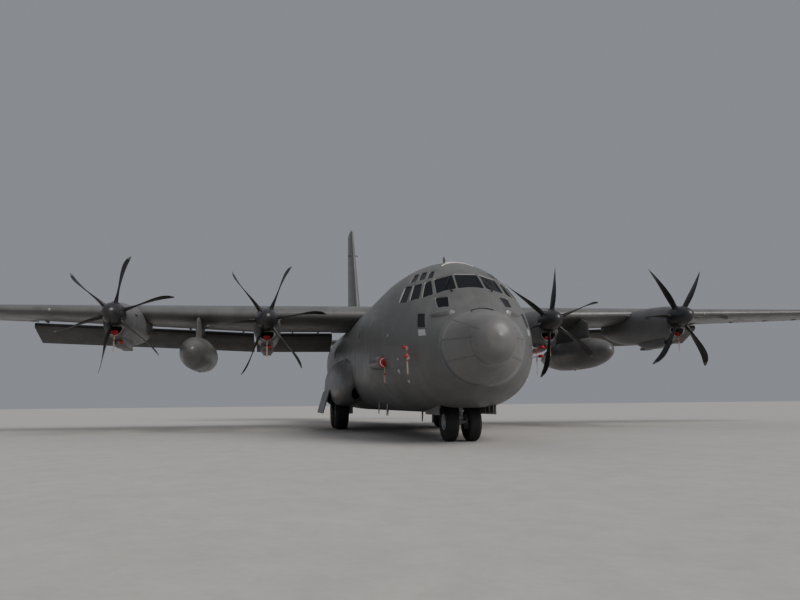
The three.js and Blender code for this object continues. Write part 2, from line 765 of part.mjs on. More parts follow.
const ELEVATOR = { from: 980, to: 7800, hinge: 0.6 };
const RUDDER = { from: 5080, to: 11500, hinge: 0.72 };

function tailBody(table, grow = 0) {
  const tip = table.at(-2)[0];
  const end = table.at(-1)[0];
  const rings = [-end, -tip, 0, tip, end].map((x) =>
    sectionRing(table, flat(table, x < 0 ? -1 : 1), Math.abs(x), 0, grow),
  );
  return loft(rings);
}

// The room inside a tail surface, open at the back where its control begins.
function tailRoom(table, spans, rear) {
  const shares = [0.1, 0.25, 0.45, rear];
  const rings = spans.map(([span, placed]) => {
    const chord = linear(table, span, 3);
    const height = (u) => chord * halfThickness(linear(table, span, 4), u) - TAIL_SKIN;
    const upper = shares.map((u) => placed(span, u, height(u)));
    const lower = shares.map((u) => placed(span, u, -height(u)));
    return [...upper, ...lower.reverse()];
  });
  return loft(rings);
}

function tail() {
  const elevatorCuts = [1, -1].map((side) =>
    controlCut(TAILPLANE, flat(TAILPLANE, side), ELEVATOR.from, ELEVATOR.to, ELEVATOR.hinge),
  );
  const [leftward, rightward] = [flat(TAILPLANE, 1), flat(TAILPLANE, -1)];
  const spans = [[7700, rightward], [0, leftward], [7700, leftward]];
  const room = tailRoom(TAILPLANE, spans, ELEVATOR.hinge);
  add("tailplane", cut(tailBody(TAILPLANE), ...elevatorCuts, room), GREY);
  for (const [name, side] of [["left", 1], ["right", -1]]) {
    const place = flat(TAILPLANE, side);
    controlSurface("elevator_" + name, TAILPLANE, place, ELEVATOR.from, ELEVATOR.to, ELEVATOR.hinge);
  }
  const place = upright(FIN);
  const blade = loft(FIN.map((row) => sectionRing(FIN, place, row[0], 0)));
  const fillet = loft([
    [[0, yAt(20200), 4650], [60, yAt(23600), 4650], [-60, yAt(23600), 4650]],
    [[0, yAt(23500), 5560], [30, yAt(23600), 5600], [-30, yAt(23600), 5600]],
  ]);
  const trimmed = cut(
    join(blade, fillet),
    grownBody,
    tailBody(TAILPLANE, WING_GAP),
    controlCut(FIN, place, RUDDER.from, RUDDER.to, RUDDER.hinge),
    tailRoom(FIN, [[4960, place], [11300, place]], RUDDER.hinge),
  );
  add("fin", trimmed, GREY);
  controlSurface("rudder", FIN, place, RUDDER.from, RUDDER.to, RUDDER.hinge);
}

// Engines

// A nacelle's outline: station behind the propeller, half width, top and bottom from the hub, share
// by which the width narrows at the very bottom
const NACELLE = [
  [270, 400, 400, -780, 0.2],
  [700, 455, 480, -800, 0.2],
  [1500, 485, 550, -810, 0.22],
  [2950, 495, 620, -790, 0.22],
  [3900, 480, 600, -700, 0.2],
  [5000, 400, 410, -400, 0.1],
  [5400, 300, 290, -150, 0],
];
const NACELLE_WALL = 55;
// The oil cooler's duct under it, by the same columns
const SCOOP = [
  [850, 190, -640, -960, 0],
  [970, 215, -640, -1020, 0],
  [1500, 230, -640, -1060, 0],
  [2100, 222, -640, -1050, 0],
  [2800, 120, -560, -850, 0],
];
const SCOOP_MOUTH = { halfWidth: 130, top: -830, bottom: -925, end: 1400 };
// The air intake's right half: half width and height from the hub, going down
const INTAKE = [
  [230, -400],
  [215, -560],
  [130, -690],
];
const ENGINE_RADIUS = 300;
const EXHAUST = { radius: 165, wall: 18, height: 80, from: 5150, to: 5540 };

function nacelleRing(centre, row, points, inset = 0) {
  const [along, half, top, bottom, taper] = row;
  const wide = (top + bottom) / 2;
  const rise = (top - bottom) / 2 - inset;
  return Array.from({ length: points }, (_, i) => {
    const a = (2 * Math.PI * i) / points;
    const power = 2 / 2.4;
    const narrow = 1 - taper * Math.max(0, -Math.cos(a)) ** 1.5;
    const x = (half - inset) * narrow * Math.sign(Math.sin(a)) * Math.abs(Math.sin(a)) ** power;
    const z = rise * Math.sign(Math.cos(a)) * Math.abs(Math.cos(a)) ** power;
    return [centre[0] + x, yAt(centre[1] + along), centre[2] + wide + z];
  });
}

function nacelle(hub, wing) {
  const outer = loft(NACELLE.map((row) => nacelleRing(hub, row, 20)));
  const duct = loft(SCOOP.map((row) => nacelleRing(hub, row, 12)));
  const pipeAt = (along) => [hub[0], hub[1] + along, hub[2] + EXHAUST.height];
  const pipe = rod(pipeAt(EXHAUST.from), pipeAt(EXHAUST.to), EXHAUST.radius, 12);
  const hollowRows = NACELLE.slice(0, 4).map((row, k) => (k ? row : [350, ...row.slice(1)]));
  const inner = loft(hollowRows.map((row) => nacelleRing(hub, row, 20, NACELLE_WALL)));
  const half = INTAKE.map(([x, z]) => [hub[0] + x, hub[2] + z]);
  const otherHalf = INTAKE.map(([x, z]) => [hub[0] - x, hub[2] + z]).reverse();
  const intake = [200, 600].map((along) =>
    [...half, ...otherHalf].map(([x, z]) => [x, yAt(hub[1] + along), z]),
  );
  const scoopMouth = box(
    [hub[0] - SCOOP_MOUTH.halfWidth, hub[1] + SCOOP[0][0] - 50, hub[2] + SCOOP_MOUTH.bottom],
    [hub[0] + SCOOP_MOUTH.halfWidth, hub[1] + SCOOP_MOUTH.end, hub[2] + SCOOP_MOUTH.top],
  );
  const bore = rod(
    pipeAt(EXHAUST.to - 200),
    pipeAt(EXHAUST.to + 50),
    EXHAUST.radius - EXHAUST.wall,
    12,
  );
  return cut(join(outer, duct, pipe), inner, loft(intake), scoopMouth, bore, wing);
}

// Blade rows: radius, chord, thickness, sweep of the middle of the chord towards the rear edge
// (negative is forward), angle to the plane of rotation
const BLADE = [
  [300, 190, 150, 0, 70],
  [480, 240, 120, -10, 74],
  [650, 290, 85, -25, 78],
  [900, 330, 55, -40, 84],
  [1200, 340, 38, -45, 92],
  [1600, 310, 26, 0, 102],
  [1880, 230, 18, 110, 108],
  [2055, 80, 12, 230, 111],
];

function blade(hub, turnDegrees) {
  const turn = radians(turnDegrees);
  const out = new THREE.Vector3(Math.sin(turn), 0, Math.cos(turn));
  const tangent = new THREE.Vector3(Math.cos(turn), 0, -Math.sin(turn));
  const forward = new THREE.Vector3(0, -1, 0);
  const centre = new THREE.Vector3(hub[0], yAt(hub[1]), hub[2]);
  const rings = BLADE.map(([radius, chord, thick, sweep, pitch]) => {
    const a = radians(pitch);
    const chordway = tangent.clone().multiplyScalar(Math.cos(a)).addScaledVector(forward, Math.sin(a));
    const across = new THREE.Vector3().crossVectors(chordway, out);
    const outline = [
      [0.5, 0],
      [0.3, 0.42],
      [0, 0.5],
      [-0.5, 0.08],
      [-0.5, -0.08],
      [0, -0.5],
      [0.3, -0.42],
    ];
    return outline.map(([c, t]) =>
      centre
        .clone()
        .addScaledVector(out, radius)
        .addScaledVector(chordway, c * chord - sweep)
        .addScaledVector(across, t * thick)
        .toArray(),
    );
  });
  return loft(rings);
}

// Engines, numbered from the left: distance to the left, hub's height, first blade's angle from
// upright
const ENGINES = [
  [OUTER_ENGINE, OUTER_HUB_HEIGHT, 29.5],
  [INNER_ENGINE, INNER_HUB_HEIGHT, 8.5],
  [-INNER_ENGINE, INNER_HUB_HEIGHT, 22],
  [-OUTER_ENGINE, OUTER_HUB_HEIGHT, 10.7],
];

function engines() {
  ENGINES.forEach(([x, height, phase], i) => {
    const number = i + 1;
    const span = Math.abs(x);
    const hub = [x, linear(WING, span, 1) - PROP_AHEAD, height];
    const wing = span > WING_BREAK ? halfWing(Math.sign(x), WING_BREAK, WING_GAP) : wingSlab();
    add("nacelle_" + number, nacelle(hub, wing), GREY);
    const block = rod(
      [x, hub[1] + 350 + GAP, hub[2]],
      [x, hub[1] + 2800, hub[2]],
      ENGINE_RADIUS,
      16,
    );
    add("engine_" + number, block, STEEL);

    const spinnerProfile = [
      [0, -660],
      [110, -620],
      [230, -500],
      [320, -310],
      [365, -120],
      [SPINNER_RADIUS, 0],
      [SPINNER_RADIUS, 255],
      [0, 255],
    ];
    const spinner = turned(spinnerProfile, hub, "y", 20);
    const blades = [0, 1, 2, 3, 4, 5].map((k) => blade(hub, phase + 60 * k));
    add("propeller_" + number, join(spinner, ...blades), DARK_GREY);
    hinge(
      "propeller_" + number,
      [x, yAt(hub[1]), hub[2]],
      [x, yAt(hub[1]) + 1000, hub[2]],
    );
  });
}

// The wing as one slab out past the break, to trim the inner nacelles.
function wingSlab() {
  const reach = WING_BREAK + 1500;
  const rows = [-reach, -WING_BREAK, WING_BREAK, reach];
  return loft(
    rows.map((x) => sectionRing(WING, flat(WING, Math.sign(x)), Math.abs(x), WING_CAMBER, WING_GAP)),
  );
}

// Fuel tanks under the wing

function fuelTanks() {
  const profile = [0, 0.03, 0.08, 0.16, 0.28, 0.45, 0.62, 0.76, 0.88, 0.96, 1].map((t) => {
    const front = Math.min(1, t / 0.36);
    const back = Math.min(1, (1 - t) / 0.5);
    const round = Math.sqrt(1 - (1 - front) ** 2) * (1 - (1 - back) ** 2.2);
    return [t === 0 || t === 1 ? 0 : TANK_RADIUS * Math.max(round, 0.03), t * TANK_LENGTH];
  });
  for (const [name, side] of [["left", 1], ["right", -1]]) {
    const centre = [side * TANK_X, TANK_NOSE, TANK_HEIGHT];
    const tank = turned(profile, centre, "y", 24);
    const ring = (z, front, back) => [
      [side * TANK_X, yAt(front), z],
      [side * TANK_X + 70, yAt(front + 500), z],
      [side * TANK_X + 80, yAt(back - 900), z],
      [side * TANK_X, yAt(back), z],
      [side * TANK_X - 80, yAt(back - 900), z],
      [side * TANK_X - 70, yAt(front + 500), z],
    ];
    const pylon = loft([
      ring(TANK_HEIGHT + 250, 11230, 14600),
      ring(4120, 11300, 14100),
      ring(4330, 11900, 13900),
    ]);
    const trimmed = pylon.subtract(halfWing(side, WING_BREAK, WING_GAP));
    add("fuel_tank_" + name, join(tank, trimmed), GREY);
  }
}

// Undercarriage

// The fairing over the main wheels: station, half width, top, bottom
const SPONSON = [
  [8750, 120, 2000, 1600],
  [9000, 300, 2300, 1300],
  [9600, 460, 2520, 1050],
  [10600, 560, 2620, 930],
  [12000, 590, 2640, 880],
  [14200, 590, 2640, 880],
  [15200, 520, 2550, 960],
  [16000, 330, 2300, 1250],
  [16300, 120, 2000, 1600],
];
const SPONSON_FLARE = 0.2; // share by which it is wider below its middle and narrower above
const SPONSON_X = 2060;

function sponson(side, grow = 0) {
  const rings = SPONSON.map(([s, half, top, bottom]) =>
    Array.from({ length: 20 }, (_, i) => {
      const a = (2 * Math.PI * i) / 20;
      const power = 2 / 2.6;
      const flare = 1 - SPONSON_FLARE * Math.cos(a);
      const x = (half + grow) * flare * Math.sign(Math.sin(a)) * Math.abs(Math.sin(a)) ** power;
      const rise = (top - bottom) / 2 + grow;
      const z = rise * Math.sign(Math.cos(a)) * Math.abs(Math.cos(a)) ** power;
      return [side * SPONSON_X + x, yAt(s), (top + bottom) / 2 + z];
    }),
  );
  return loft(rings);
}

function wheelProfile(radius, width, boreRadius, rimRadius) {
  const half = width / 2;
  const oneSide = [
    [boreRadius, half * 0.75],
    [rimRadius * 0.5, half * 0.75],
    [rimRadius * 0.88, half * 0.35],
    [rimRadius, half * 0.9],
    [radius * 0.8, half],
    [radius, half * 0.55],
  ];
  const otherSide = oneSide.map(([r, along]) => [r, -along]);
  return [...otherSide, ...oneSide.reverse(), otherSide[0]];
}

function mainGear() {
  const wheelAt = [MAIN_GEAR - MAIN_WHEEL_SPACING / 2, MAIN_GEAR + MAIN_WHEEL_SPACING / 2];
  for (const [name, side] of [["left", 1], ["right", -1]]) {
    const between = (a, b) => [side * a, side * b].sort((p, q) => p - q);
    const bayX = between(1700, 3200);
    const bay = box([bayX[0], wheelAt[0] - 860, -100], [bayX[1], wheelAt[1] + 860, 1470]);
    add("sponson_" + name, cut(sponson(side), grownBody, bay), GREY);

    const postX = side * 1790;
    const pieces = [rod([postX, wheelAt[0], 780], [postX, wheelAt[1], 780], 60, 12)];
    for (const station of wheelAt) {
      pieces.push(rod([postX, station, 600], [postX, station, 1500], 85, 12));
      pieces.push(
        rod(
          [postX, station, MAIN_WHEEL_RADIUS],
          [side * (HALF_TRACK + 200), station, MAIN_WHEEL_RADIUS],
          60,
          16,
        ),
      );
    }
    add("main_gear_" + name, cut(join(...pieces), grownBody), STEEL);
    [["front", wheelAt[0]], ["rear", wheelAt[1]]].forEach(([place, station]) => {
      const profile = wheelProfile(MAIN_WHEEL_RADIUS, MAIN_WHEEL_WIDTH, 60 + GAP, 255);
      const centre = [side * HALF_TRACK, station, MAIN_WHEEL_RADIUS];
      add(`main_wheel_${name}_${place}`, turned(profile, centre, "x", 28), RUBBER);
      hinge(
        `main_wheel_${name}_${place}`,
        [centre[0], yAt(station), MAIN_WHEEL_RADIUS],
        [centre[0] + 1000, yAt(station), MAIN_WHEEL_RADIUS],
      );
    });

    const panel = (x, z) => [side * x, z];
    const edge = [panel(2660, 1500), panel(2700, 1500), panel(2960, 640), panel(2920, 620)];
    const ring = (station) => edge.map(([x, z]) => [x, yAt(station), z]);
    const door = loft([ring(wheelAt[0] - 820), ring(wheelAt[1] + 820)]);
    add("main_gear_door_" + name, cut(door, sponson(side, GAP)), GREY);
  }
}

function noseGear() {
  const station = NOSE_GEAR;
  const deckUnder = DECK_TOP - 80 - GAP;
  const sleeve = rod([0, station, 1020], [0, station, deckUnder], LEG_RADIUS, 16);
  const bore = rod([0, station, 900], [0, station, 1700], 72, 16);
  const brace = rod([0, station - 60, 1500], [0, station - 620, deckUnder - 60], 45, 10);
  const foot = box([-120, station - 760, deckUnder - 120], [120, station - 520, deckUnder]);
  add("nose_gear_leg", cut(join(sleeve, brace, foot), bore), STEEL);

  const piston = rod([0, station, 420], [0, station, 1600], 70, 16);
  const block = rod([-100, station, NOSE_WHEEL_RADIUS], [100, station, NOSE_WHEEL_RADIUS], 95, 16);
  const axleBore = rod([-200, station, NOSE_WHEEL_RADIUS], [200, station, NOSE_WHEEL_RADIUS], 47, 16);
  const link = box([-45, station - 190, 560], [45, station - 30, 900]);
  add("nose_gear_fork", cut(join(piston, block, link), axleBore), STEEL);
  hinge("nose_gear_fork", [0, yAt(station), 0], [0, yAt(station), 1000]);

  const wheels = [-1, 1].map((side) =>
    turned(
      wheelProfile(NOSE_WHEEL_RADIUS, NOSE_WHEEL_WIDTH, 40, 190),
      [side * NOSE_WHEEL_X, station, NOSE_WHEEL_RADIUS],
      "x",
      24,
    ),
  );
  const reach = NOSE_WHEEL_X + 120;
  const axle = rod([-reach, station, NOSE_WHEEL_RADIUS], [reach, station, NOSE_WHEEL_RADIUS], 45, 16);
  add("nose_wheels", join(...wheels, axle), RUBBER);
  hinge(
    "nose_wheels",
    [0, yAt(station), NOSE_WHEEL_RADIUS],
    [1000, yAt(station), NOSE_WHEEL_RADIUS],
  );

  for (const [name, side] of [["left", 1], ["right", -1]]) {
    const xs = [side * (NOSE_BAY.half + 5), side * (NOSE_BAY.half + 40)].sort((a, b) => a - b);
    const panel = box([xs[0], NOSE_BAY.from, 680], [xs[1], NOSE_BAY.to, 1000]);
    add("nose_gear_door_" + name, panel.subtract(grownBody), GREY);
  }
}

radome();
cockpit();
flightDeck();
cargoFuselage();
aftFuselage();
wings();
tail();
engines();
fuelTanks();
mainGear();
noseGear();

aircraft.scale.setScalar(SCALE);
aircraft.userData.hinges = hinges;

export default aircraft;
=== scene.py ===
"""The looks of the transport plane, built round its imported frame.

Sizes are the full-size aircraft's, in millimetres, as in the part's source: x to the aircraft's
left, s the station behind the tip of the nose, z up. S turns them into metres of the 1:2 model.
"""
import math

import bpy
import numpy as np
from mathutils import Matrix, Vector
from mathutils.bvhtree import BVHTree
from mathutils.interpolate import poly_3d_calc


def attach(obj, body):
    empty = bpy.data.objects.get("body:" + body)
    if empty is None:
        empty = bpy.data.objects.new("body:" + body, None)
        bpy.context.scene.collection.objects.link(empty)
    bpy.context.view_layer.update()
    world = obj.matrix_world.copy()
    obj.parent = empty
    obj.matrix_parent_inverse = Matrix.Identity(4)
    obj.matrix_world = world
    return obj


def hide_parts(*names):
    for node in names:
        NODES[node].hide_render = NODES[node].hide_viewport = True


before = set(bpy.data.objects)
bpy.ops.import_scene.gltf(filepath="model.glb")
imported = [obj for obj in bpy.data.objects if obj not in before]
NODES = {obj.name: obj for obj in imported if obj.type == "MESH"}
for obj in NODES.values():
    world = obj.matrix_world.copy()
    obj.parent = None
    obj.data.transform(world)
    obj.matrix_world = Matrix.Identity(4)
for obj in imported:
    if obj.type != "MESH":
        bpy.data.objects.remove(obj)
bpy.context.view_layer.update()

S = 0.0005
LENGTH = 29790
SIDES = (("left", 1), ("right", -1))


def at(x, s, z):
    return Vector((x * S, (s - LENGTH / 2) * S, z * S))


def across_of(point):
    """A point's distance to the left in millimetres."""
    return point.x / S


# The camera, at the photograph's viewing angle

CAMERA_PLACE = (-4724, -13260, 977)
CAMERA_TURN = (6.44, 8.21, -0.57)
CAMERA_LENS, CAMERA_SHIFT, CAMERA_REACH = 29.29, (0.0643, 0.0124), 500


def place_camera():
    yaw, pitch, roll = (math.radians(a) for a in CAMERA_TURN)
    level = math.cos(pitch)
    forward = Vector((math.sin(yaw) * level, math.cos(yaw) * level, math.sin(pitch)))
    right = Vector((math.cos(yaw), -math.sin(yaw), 0))
    up = right.cross(forward)
    across = right * math.cos(roll) + up * math.sin(roll)
    upward = up * math.cos(roll) - right * math.sin(roll)
    data = bpy.data.cameras.new("camera")
    camera = bpy.data.objects.new("camera", data)
    matrix = Matrix((across, upward, -forward)).transposed().to_4x4()
    matrix.translation = at(*CAMERA_PLACE)
    camera.matrix_world = matrix
    data.lens = CAMERA_LENS
    data.shift_x, data.shift_y = CAMERA_SHIFT
    data.clip_end = CAMERA_REACH
    bpy.context.scene.collection.objects.link(camera)
    bpy.context.scene.camera = camera


place_camera()


# Materials


class Material:
    """A Principled material with short ways to add and link nodes."""

    def __init__(self, name, colour, roughness, metallic=0.0):
        self.data = bpy.data.materials.new(name)
        self.data.use_nodes = True
        self.tree = self.data.node_tree
        self.shader = self.tree.nodes["Principled BSDF"]
        self.shader.inputs["Roughness"].default_value = roughness
        self.shader.inputs["Metallic"].default_value = metallic
        self.shader.inputs["Base Color"].default_value = (*colour, 1)
        self.colour = colour
        self.data.diffuse_color = (*colour, 1)

    def node(self, kind, **settings):
        made = self.tree.nodes.new("ShaderNode" + kind)
        for key, value in settings.items():
            if hasattr(made, key):
                setattr(made, key, value)
            else:
                made.inputs[key.replace("_", " ")].default_value = value
        return made

    def link(self, source, target):
        self.tree.links.new(source, target)

    def math(self, operation, a, b):
        made = self.node("Math", operation=operation)
        for socket, value in zip(made.inputs, (a, b)):
            if isinstance(value, (int, float)):
                socket.default_value = value
            else:
                self.link(value, socket)
        return made.outputs[0]

    def noise(self, coords, scale, detail=3.0, stretch=(1, 1, 1), offset=0.0):
        mapping = self.node("Mapping")
        mapping.inputs["Scale"].default_value = stretch
        mapping.inputs["Location"].default_value = (offset, offset, offset)
        self.link(coords, mapping.inputs["Vector"])
        made = self.node("TexNoise", Scale=scale, Detail=detail, Roughness=0.55)
        self.link(mapping.outputs[0], made.inputs["Vector"])
        return made.outputs["Fac"]

    def spread(self, value, low, high, start=0.3, end=0.7):
        made = self.node("MapRange")
        for key, number in (("From Min", start), ("From Max", end),
                            ("To Min", low), ("To Max", high)):
            made.inputs[key].default_value = number
        self.link(value, made.inputs["Value"])
        return made.outputs["Result"]

    def tint(self, colour, factor):
        """The colour times a grey factor."""
        made = self.node("VectorMath", operation="SCALE")
        if isinstance(colour, tuple):
            made.inputs[0].default_value = colour
        else:
            self.link(colour, made.inputs[0])
        self.link(factor, made.inputs["Scale"])
        return made.outputs[0]

    def bump(self, height, strength, distance):
        made = self.node("Bump", Strength=strength, Distance=distance)
        self.link(height, made.inputs["Height"])
        self.link(made.outputs[0], self.shader.inputs["Normal"])


def paint(name, colour, roughness=0.42, panels=None, coords="Object", metallic=0.0, dirt=1.0):
    """Weathered satin paint: uneven tone, streaks that run down, fine orange peel, and where panels
    gives (length, width, swap), joints between panels with a line of rivets along them."""
    m = Material(name, colour, roughness, metallic)
    where = m.node("TexCoord")
    place = where.outputs["Object"]
    cloud = m.spread(m.noise(place, 1.3, 4), 1 - 0.11 * dirt, 1 + 0.09 * dirt)
    streak = m.spread(m.noise(place, 3.2, 3, (1.6, 1.6, 0.16)), 1 - 0.13 * dirt, 1.04, 0.35, 0.62)
    speck = m.spread(m.noise(place, 34, 2, offset=3.1), 0.965, 1.03)
    tone = m.math("MULTIPLY", m.math("MULTIPLY", cloud, streak), speck)
    height = m.math("MULTIPLY", m.noise(place, 210, 2), 0.12)
    if panels:
        long, wide, swap = panels
        source = where.outputs[coords]
        mapping = m.node("Mapping")
        if swap:
            mapping.inputs["Rotation"].default_value = (0, 0, math.pi / 2)
        m.link(source, mapping.inputs["Vector"])
        brick = m.node("TexBrick", offset=0.5, Scale=1.0)
        for key, value in (("Brick Width", long), ("Row Height", wide), ("Mortar Size", 0.0022),
                           ("Mortar Smooth", 0.25), ("Bias", 0.0)):
            brick.inputs[key].default_value = value
        brick.inputs["Color1"].default_value = (0.955, 0.955, 0.955, 1)
        brick.inputs["Color2"].default_value = (1.03, 1.03, 1.03, 1)
        brick.inputs["Mortar"].default_value = (0.62, 0.62, 0.62, 1)
        m.link(mapping.outputs[0], brick.inputs["Vector"])
        grey = m.node("RGBToBW")
        m.link(brick.outputs["Color"], grey.inputs[0])
        tone = m.math("MULTIPLY", tone, grey.outputs[0])
        height = m.math("SUBTRACT", height, m.math("MULTIPLY", brick.outputs["Fac"], 1.4))
    m.link(m.tint(colour, tone), m.shader.inputs["Base Color"])
    m.link(m.spread(m.noise(place, 5, 3, offset=7.7), roughness - 0.07, roughness + 0.1),
           m.shader.inputs["Roughness"])
    m.bump(height, 0.35, 0.002)
    return m.data


GREY = (0.118, 0.12, 0.118)
body_paint = paint("body_paint", GREY, 0.4, (0.62, 0.34, False), "UV")
wing_paint = paint("wing_paint", GREY, 0.36, (0.9, 0.42, False))
tail_paint = paint("tail_paint", GREY, 0.4)
flap_paint = paint("flap_paint", (0.1, 0.098, 0.094), 0.45, (0.55, 3.0, False), dirt=1.3)
cowl_paint = paint("cowl_paint", (0.125, 0.125, 0.128), 0.38)
radome_paint = paint("radome_paint", (0.15, 0.148, 0.146), 0.32, dirt=0.6)
tank_paint = paint("tank_paint", (0.122, 0.12, 0.118), 0.33, dirt=0.8)
post_paint = paint("post_paint", (0.17, 0.172, 0.172), 0.4, dirt=0.5)
frame_paint = paint("frame_paint", (0.36, 0.37, 0.37), 0.4, dirt=0.5)
spinner_paint = paint("spinner_paint", (0.028, 0.028, 0.03), 0.3, dirt=0.5)
blade_paint = paint("blade_paint", (0.012, 0.011, 0.012), 0.42, dirt=0.5)
tip_paint = paint("tip_paint", (0.1, 0.1, 0.1), 0.42, dirt=0.5)
gear_paint = paint("gear_paint", (0.42, 0.43, 0.43), 0.45)
inside_paint = paint("inside_paint", (0.16, 0.19, 0.17), 0.6)
floor_metal = paint("floor_metal", (0.13, 0.14, 0.14), 0.5, (0.55, 0.27, False), metallic=0.4)
white_paint = paint("white_paint", (0.62, 0.61, 0.58), 0.45, dirt=0.6)
red_cover = paint("red_cover", (0.42, 0.012, 0.02), 0.6, dirt=0.8)
streamer_cloth = paint("streamer_cloth", (0.45, 0.03, 0.03), 0.85, dirt=1.4)
faded_cloth = paint("faded_cloth", (0.42, 0.3, 0.25), 0.85, dirt=1.4)
seat_cloth = paint("seat_cloth", (0.05, 0.055, 0.05), 0.9, dirt=1.3)
black_paint = paint("black_paint", (0.008, 0.008, 0.009), 0.5, dirt=0.5)
steel = paint("steel", (0.5, 0.5, 0.5), 0.3, metallic=0.9, dirt=0.7)
exhaust_metal = paint("exhaust_metal", (0.1, 0.085, 0.075), 0.5, metallic=0.8, dirt=1.6)


def rubber():
    m = Material("rubber", (0.012, 0.012, 0.012), 0.75)
    place = m.node("TexCoord").outputs["Object"]
    tone = m.spread(m.noise(place, 9, 4), 0.7, 1.7)
    m.link(m.tint((0.012, 0.012, 0.012), tone), m.shader.inputs["Base Color"])
    m.bump(m.noise(place, 160, 3), 0.4, 0.001)
    return m.data


def glass():
    m = Material("window_glass", (0.012, 0.015, 0.02), 0.03)
    m.shader.inputs["Transmission Weight"].default_value = 0.75
    m.shader.inputs["IOR"].default_value = 1.45
    m.shader.inputs["Specular IOR Level"].default_value = 0.16
    place = m.node("TexCoord").outputs["Object"]
    m.link(m.spread(m.noise(place, 6, 2), 0.02, 0.07), m.shader.inputs["Roughness"])
    return m.data


tyre_rubber = rubber()
window_glass = glass()
lamp_glass = paint("lamp_glass", (0.24, 0.25, 0.26), 0.12, dirt=0.3)


# Meshes


def angles(count):
    """Evenly spaced round a full turn."""
    return [2 * math.pi * k / count for k in range(count)]


def mesh_object(name, verts, faces, material, smooth=True):
    mesh = bpy.data.meshes.new(name)
    mesh.from_pydata([tuple(v) for v in verts], [], faces)
    mesh.validate()
    for m in material if isinstance(material, list) else [material]:
        mesh.materials.append(m)
    mesh.polygons.foreach_set("use_smooth", [smooth] * len(mesh.polygons))
    made = bpy.data.objects.new(name, mesh)
    bpy.context.scene.collection.objects.link(made)
    return made


def duplicate(made, name):
    copy = made.copy()
    copy.data = made.data.copy()
    copy.name = name
    bpy.context.scene.collection.objects.link(copy)
    return copy


def round_off(made, angle=32):
    """Smooth faces, with sharp edges where they meet at more than the angle."""
    mesh = made.data
    mesh.polygons.foreach_set("use_smooth", [True] * len(mesh.polygons))
    mesh.set_sharp_from_angle(angle=math.radians(angle))


def outward(verts, faces):
    """The closed surface with its faces turned outwards."""
    volume = 0.0
    for f in faces:
        a = Vector(verts[f[0]])
        for i in range(1, len(f) - 1):
            volume += a.dot(Vector(verts[f[i]]).cross(Vector(verts[f[i + 1]])))
    return verts, [f[::-1] for f in faces] if volume < 0 else faces


def loft(rings, caps=True, loop=False):
    """Vertices and faces of a surface through rings of points, turned outwards where it is closed:
    with caps, or as a loop whose last ring joins its first."""
    count, rows = len(rings[0]), len(rings)
    verts = [p for ring in rings for p in ring]
    faces = []
    for r in range(rows if loop else rows - 1):
        here, there = r * count, (r + 1) % rows * count
        for i in range(count):
            n = (i + 1) % count
            faces.append((here + i, here + n, there + n, there + i))
    if caps and not loop:
        faces.append(tuple(range(count))[::-1])
        faces.append(tuple(range((rows - 1) * count, rows * count)))
    return outward(verts, faces) if caps or loop else (verts, faces)


def tool(rings, smooth=True):
    """A closed form that boolean() cuts with."""
    return mesh_object("tool", *loft(rings), body_paint, smooth)


def merged(name, parts, material, angle=35):
    """One object from several (verts, faces) or (verts, faces, material index)."""
    verts, faces, slots = [], [], []
    for part in parts:
        base = len(verts)
        verts += [tuple(v) for v in part[0]]
        faces += [tuple(i + base for i in f) for f in part[1]]
        index = part[2] if len(part) > 2 else 0
        slots += index if isinstance(index, list) else [index] * len(part[1])
    made = mesh_object(name, verts, faces, material)
    if len(made.data.polygons) == len(slots):
        made.data.polygons.foreach_set("material_index", slots)
    made.data.set_sharp_from_angle(angle=math.radians(angle))
    return made


def marked(index, *parts):
    """The parts with the material of that index."""
    return [(*part[:2], index) for part in parts]


def circle(centre, u, v, radius, steps):
    return [centre + (u * math.cos(a) + v * math.sin(a)) * radius * S for a in angles(steps)]


def turned(profile, centre, axis, steps=48, closed=False):
    """Vertices and faces turned round an axis: profile points are (radius, distance along).
    A closed profile makes a ring."""
    if isinstance(axis, str):
        axis = [float(axis == letter) for letter in "xyz"]
    n = Vector(axis).normalized()
    u = n.orthogonal().normalized()
    v = n.cross(u)
    return loft([circle(centre + n * along * S, u, v, radius, steps) for radius, along in profile],
                loop=closed)


def rod(a, b, radius, steps=16):
    """A cylinder between two points (x, s, z), with softened ends."""
    a, b = at(*a), at(*b)
    length = (b - a).length / S
    c = min(radius * 0.2, length * 0.2)
    return turned([(radius - c, 0), (radius, c), (radius, length - c), (radius - c, length)],
                  a, b - a, steps)


def block(low, high, soft=4):
    """A box with softened edges between two corners (x, s, z)."""
    low, high = np.array(low, float), np.array(high, float)
    low, high = np.minimum(low, high), np.maximum(low, high)
    soft = min(soft, *((high - low) * 0.3))
    rings = []
    for z, inset in ((low[2], soft), (low[2] + soft, 0), (high[2] - soft, 0), (high[2], soft)):
        x0, s0, x1, s1 = low[0] + inset, low[1] + inset, high[0] - inset, high[1] - inset
        rings.append([at(x, s, z) for x, s in (
            (x0 + soft, s0), (x1 - soft, s0), (x1, s0 + soft), (x1, s1 - soft),
            (x1 - soft, s1), (x0 + soft, s1), (x0, s1 - soft), (x0, s0 + soft))])
    return loft(rings)


def tube(points, radius, steps=10):
    """A round tube along points: places in the model, or (x, s, z)."""
    path = [p if isinstance(p, Vector) else at(*p) for p in points]
    rings = []
    last = None
    for i, p in enumerate(path):
        along = (path[min(i + 1, len(path) - 1)] - path[max(i - 1, 0)]).normalized()
        last = (last - along * last.dot(along) if last else along.orthogonal()).normalized()
        rings.append(circle(p, last, along.cross(last), radius, steps))
    return loft(rings)


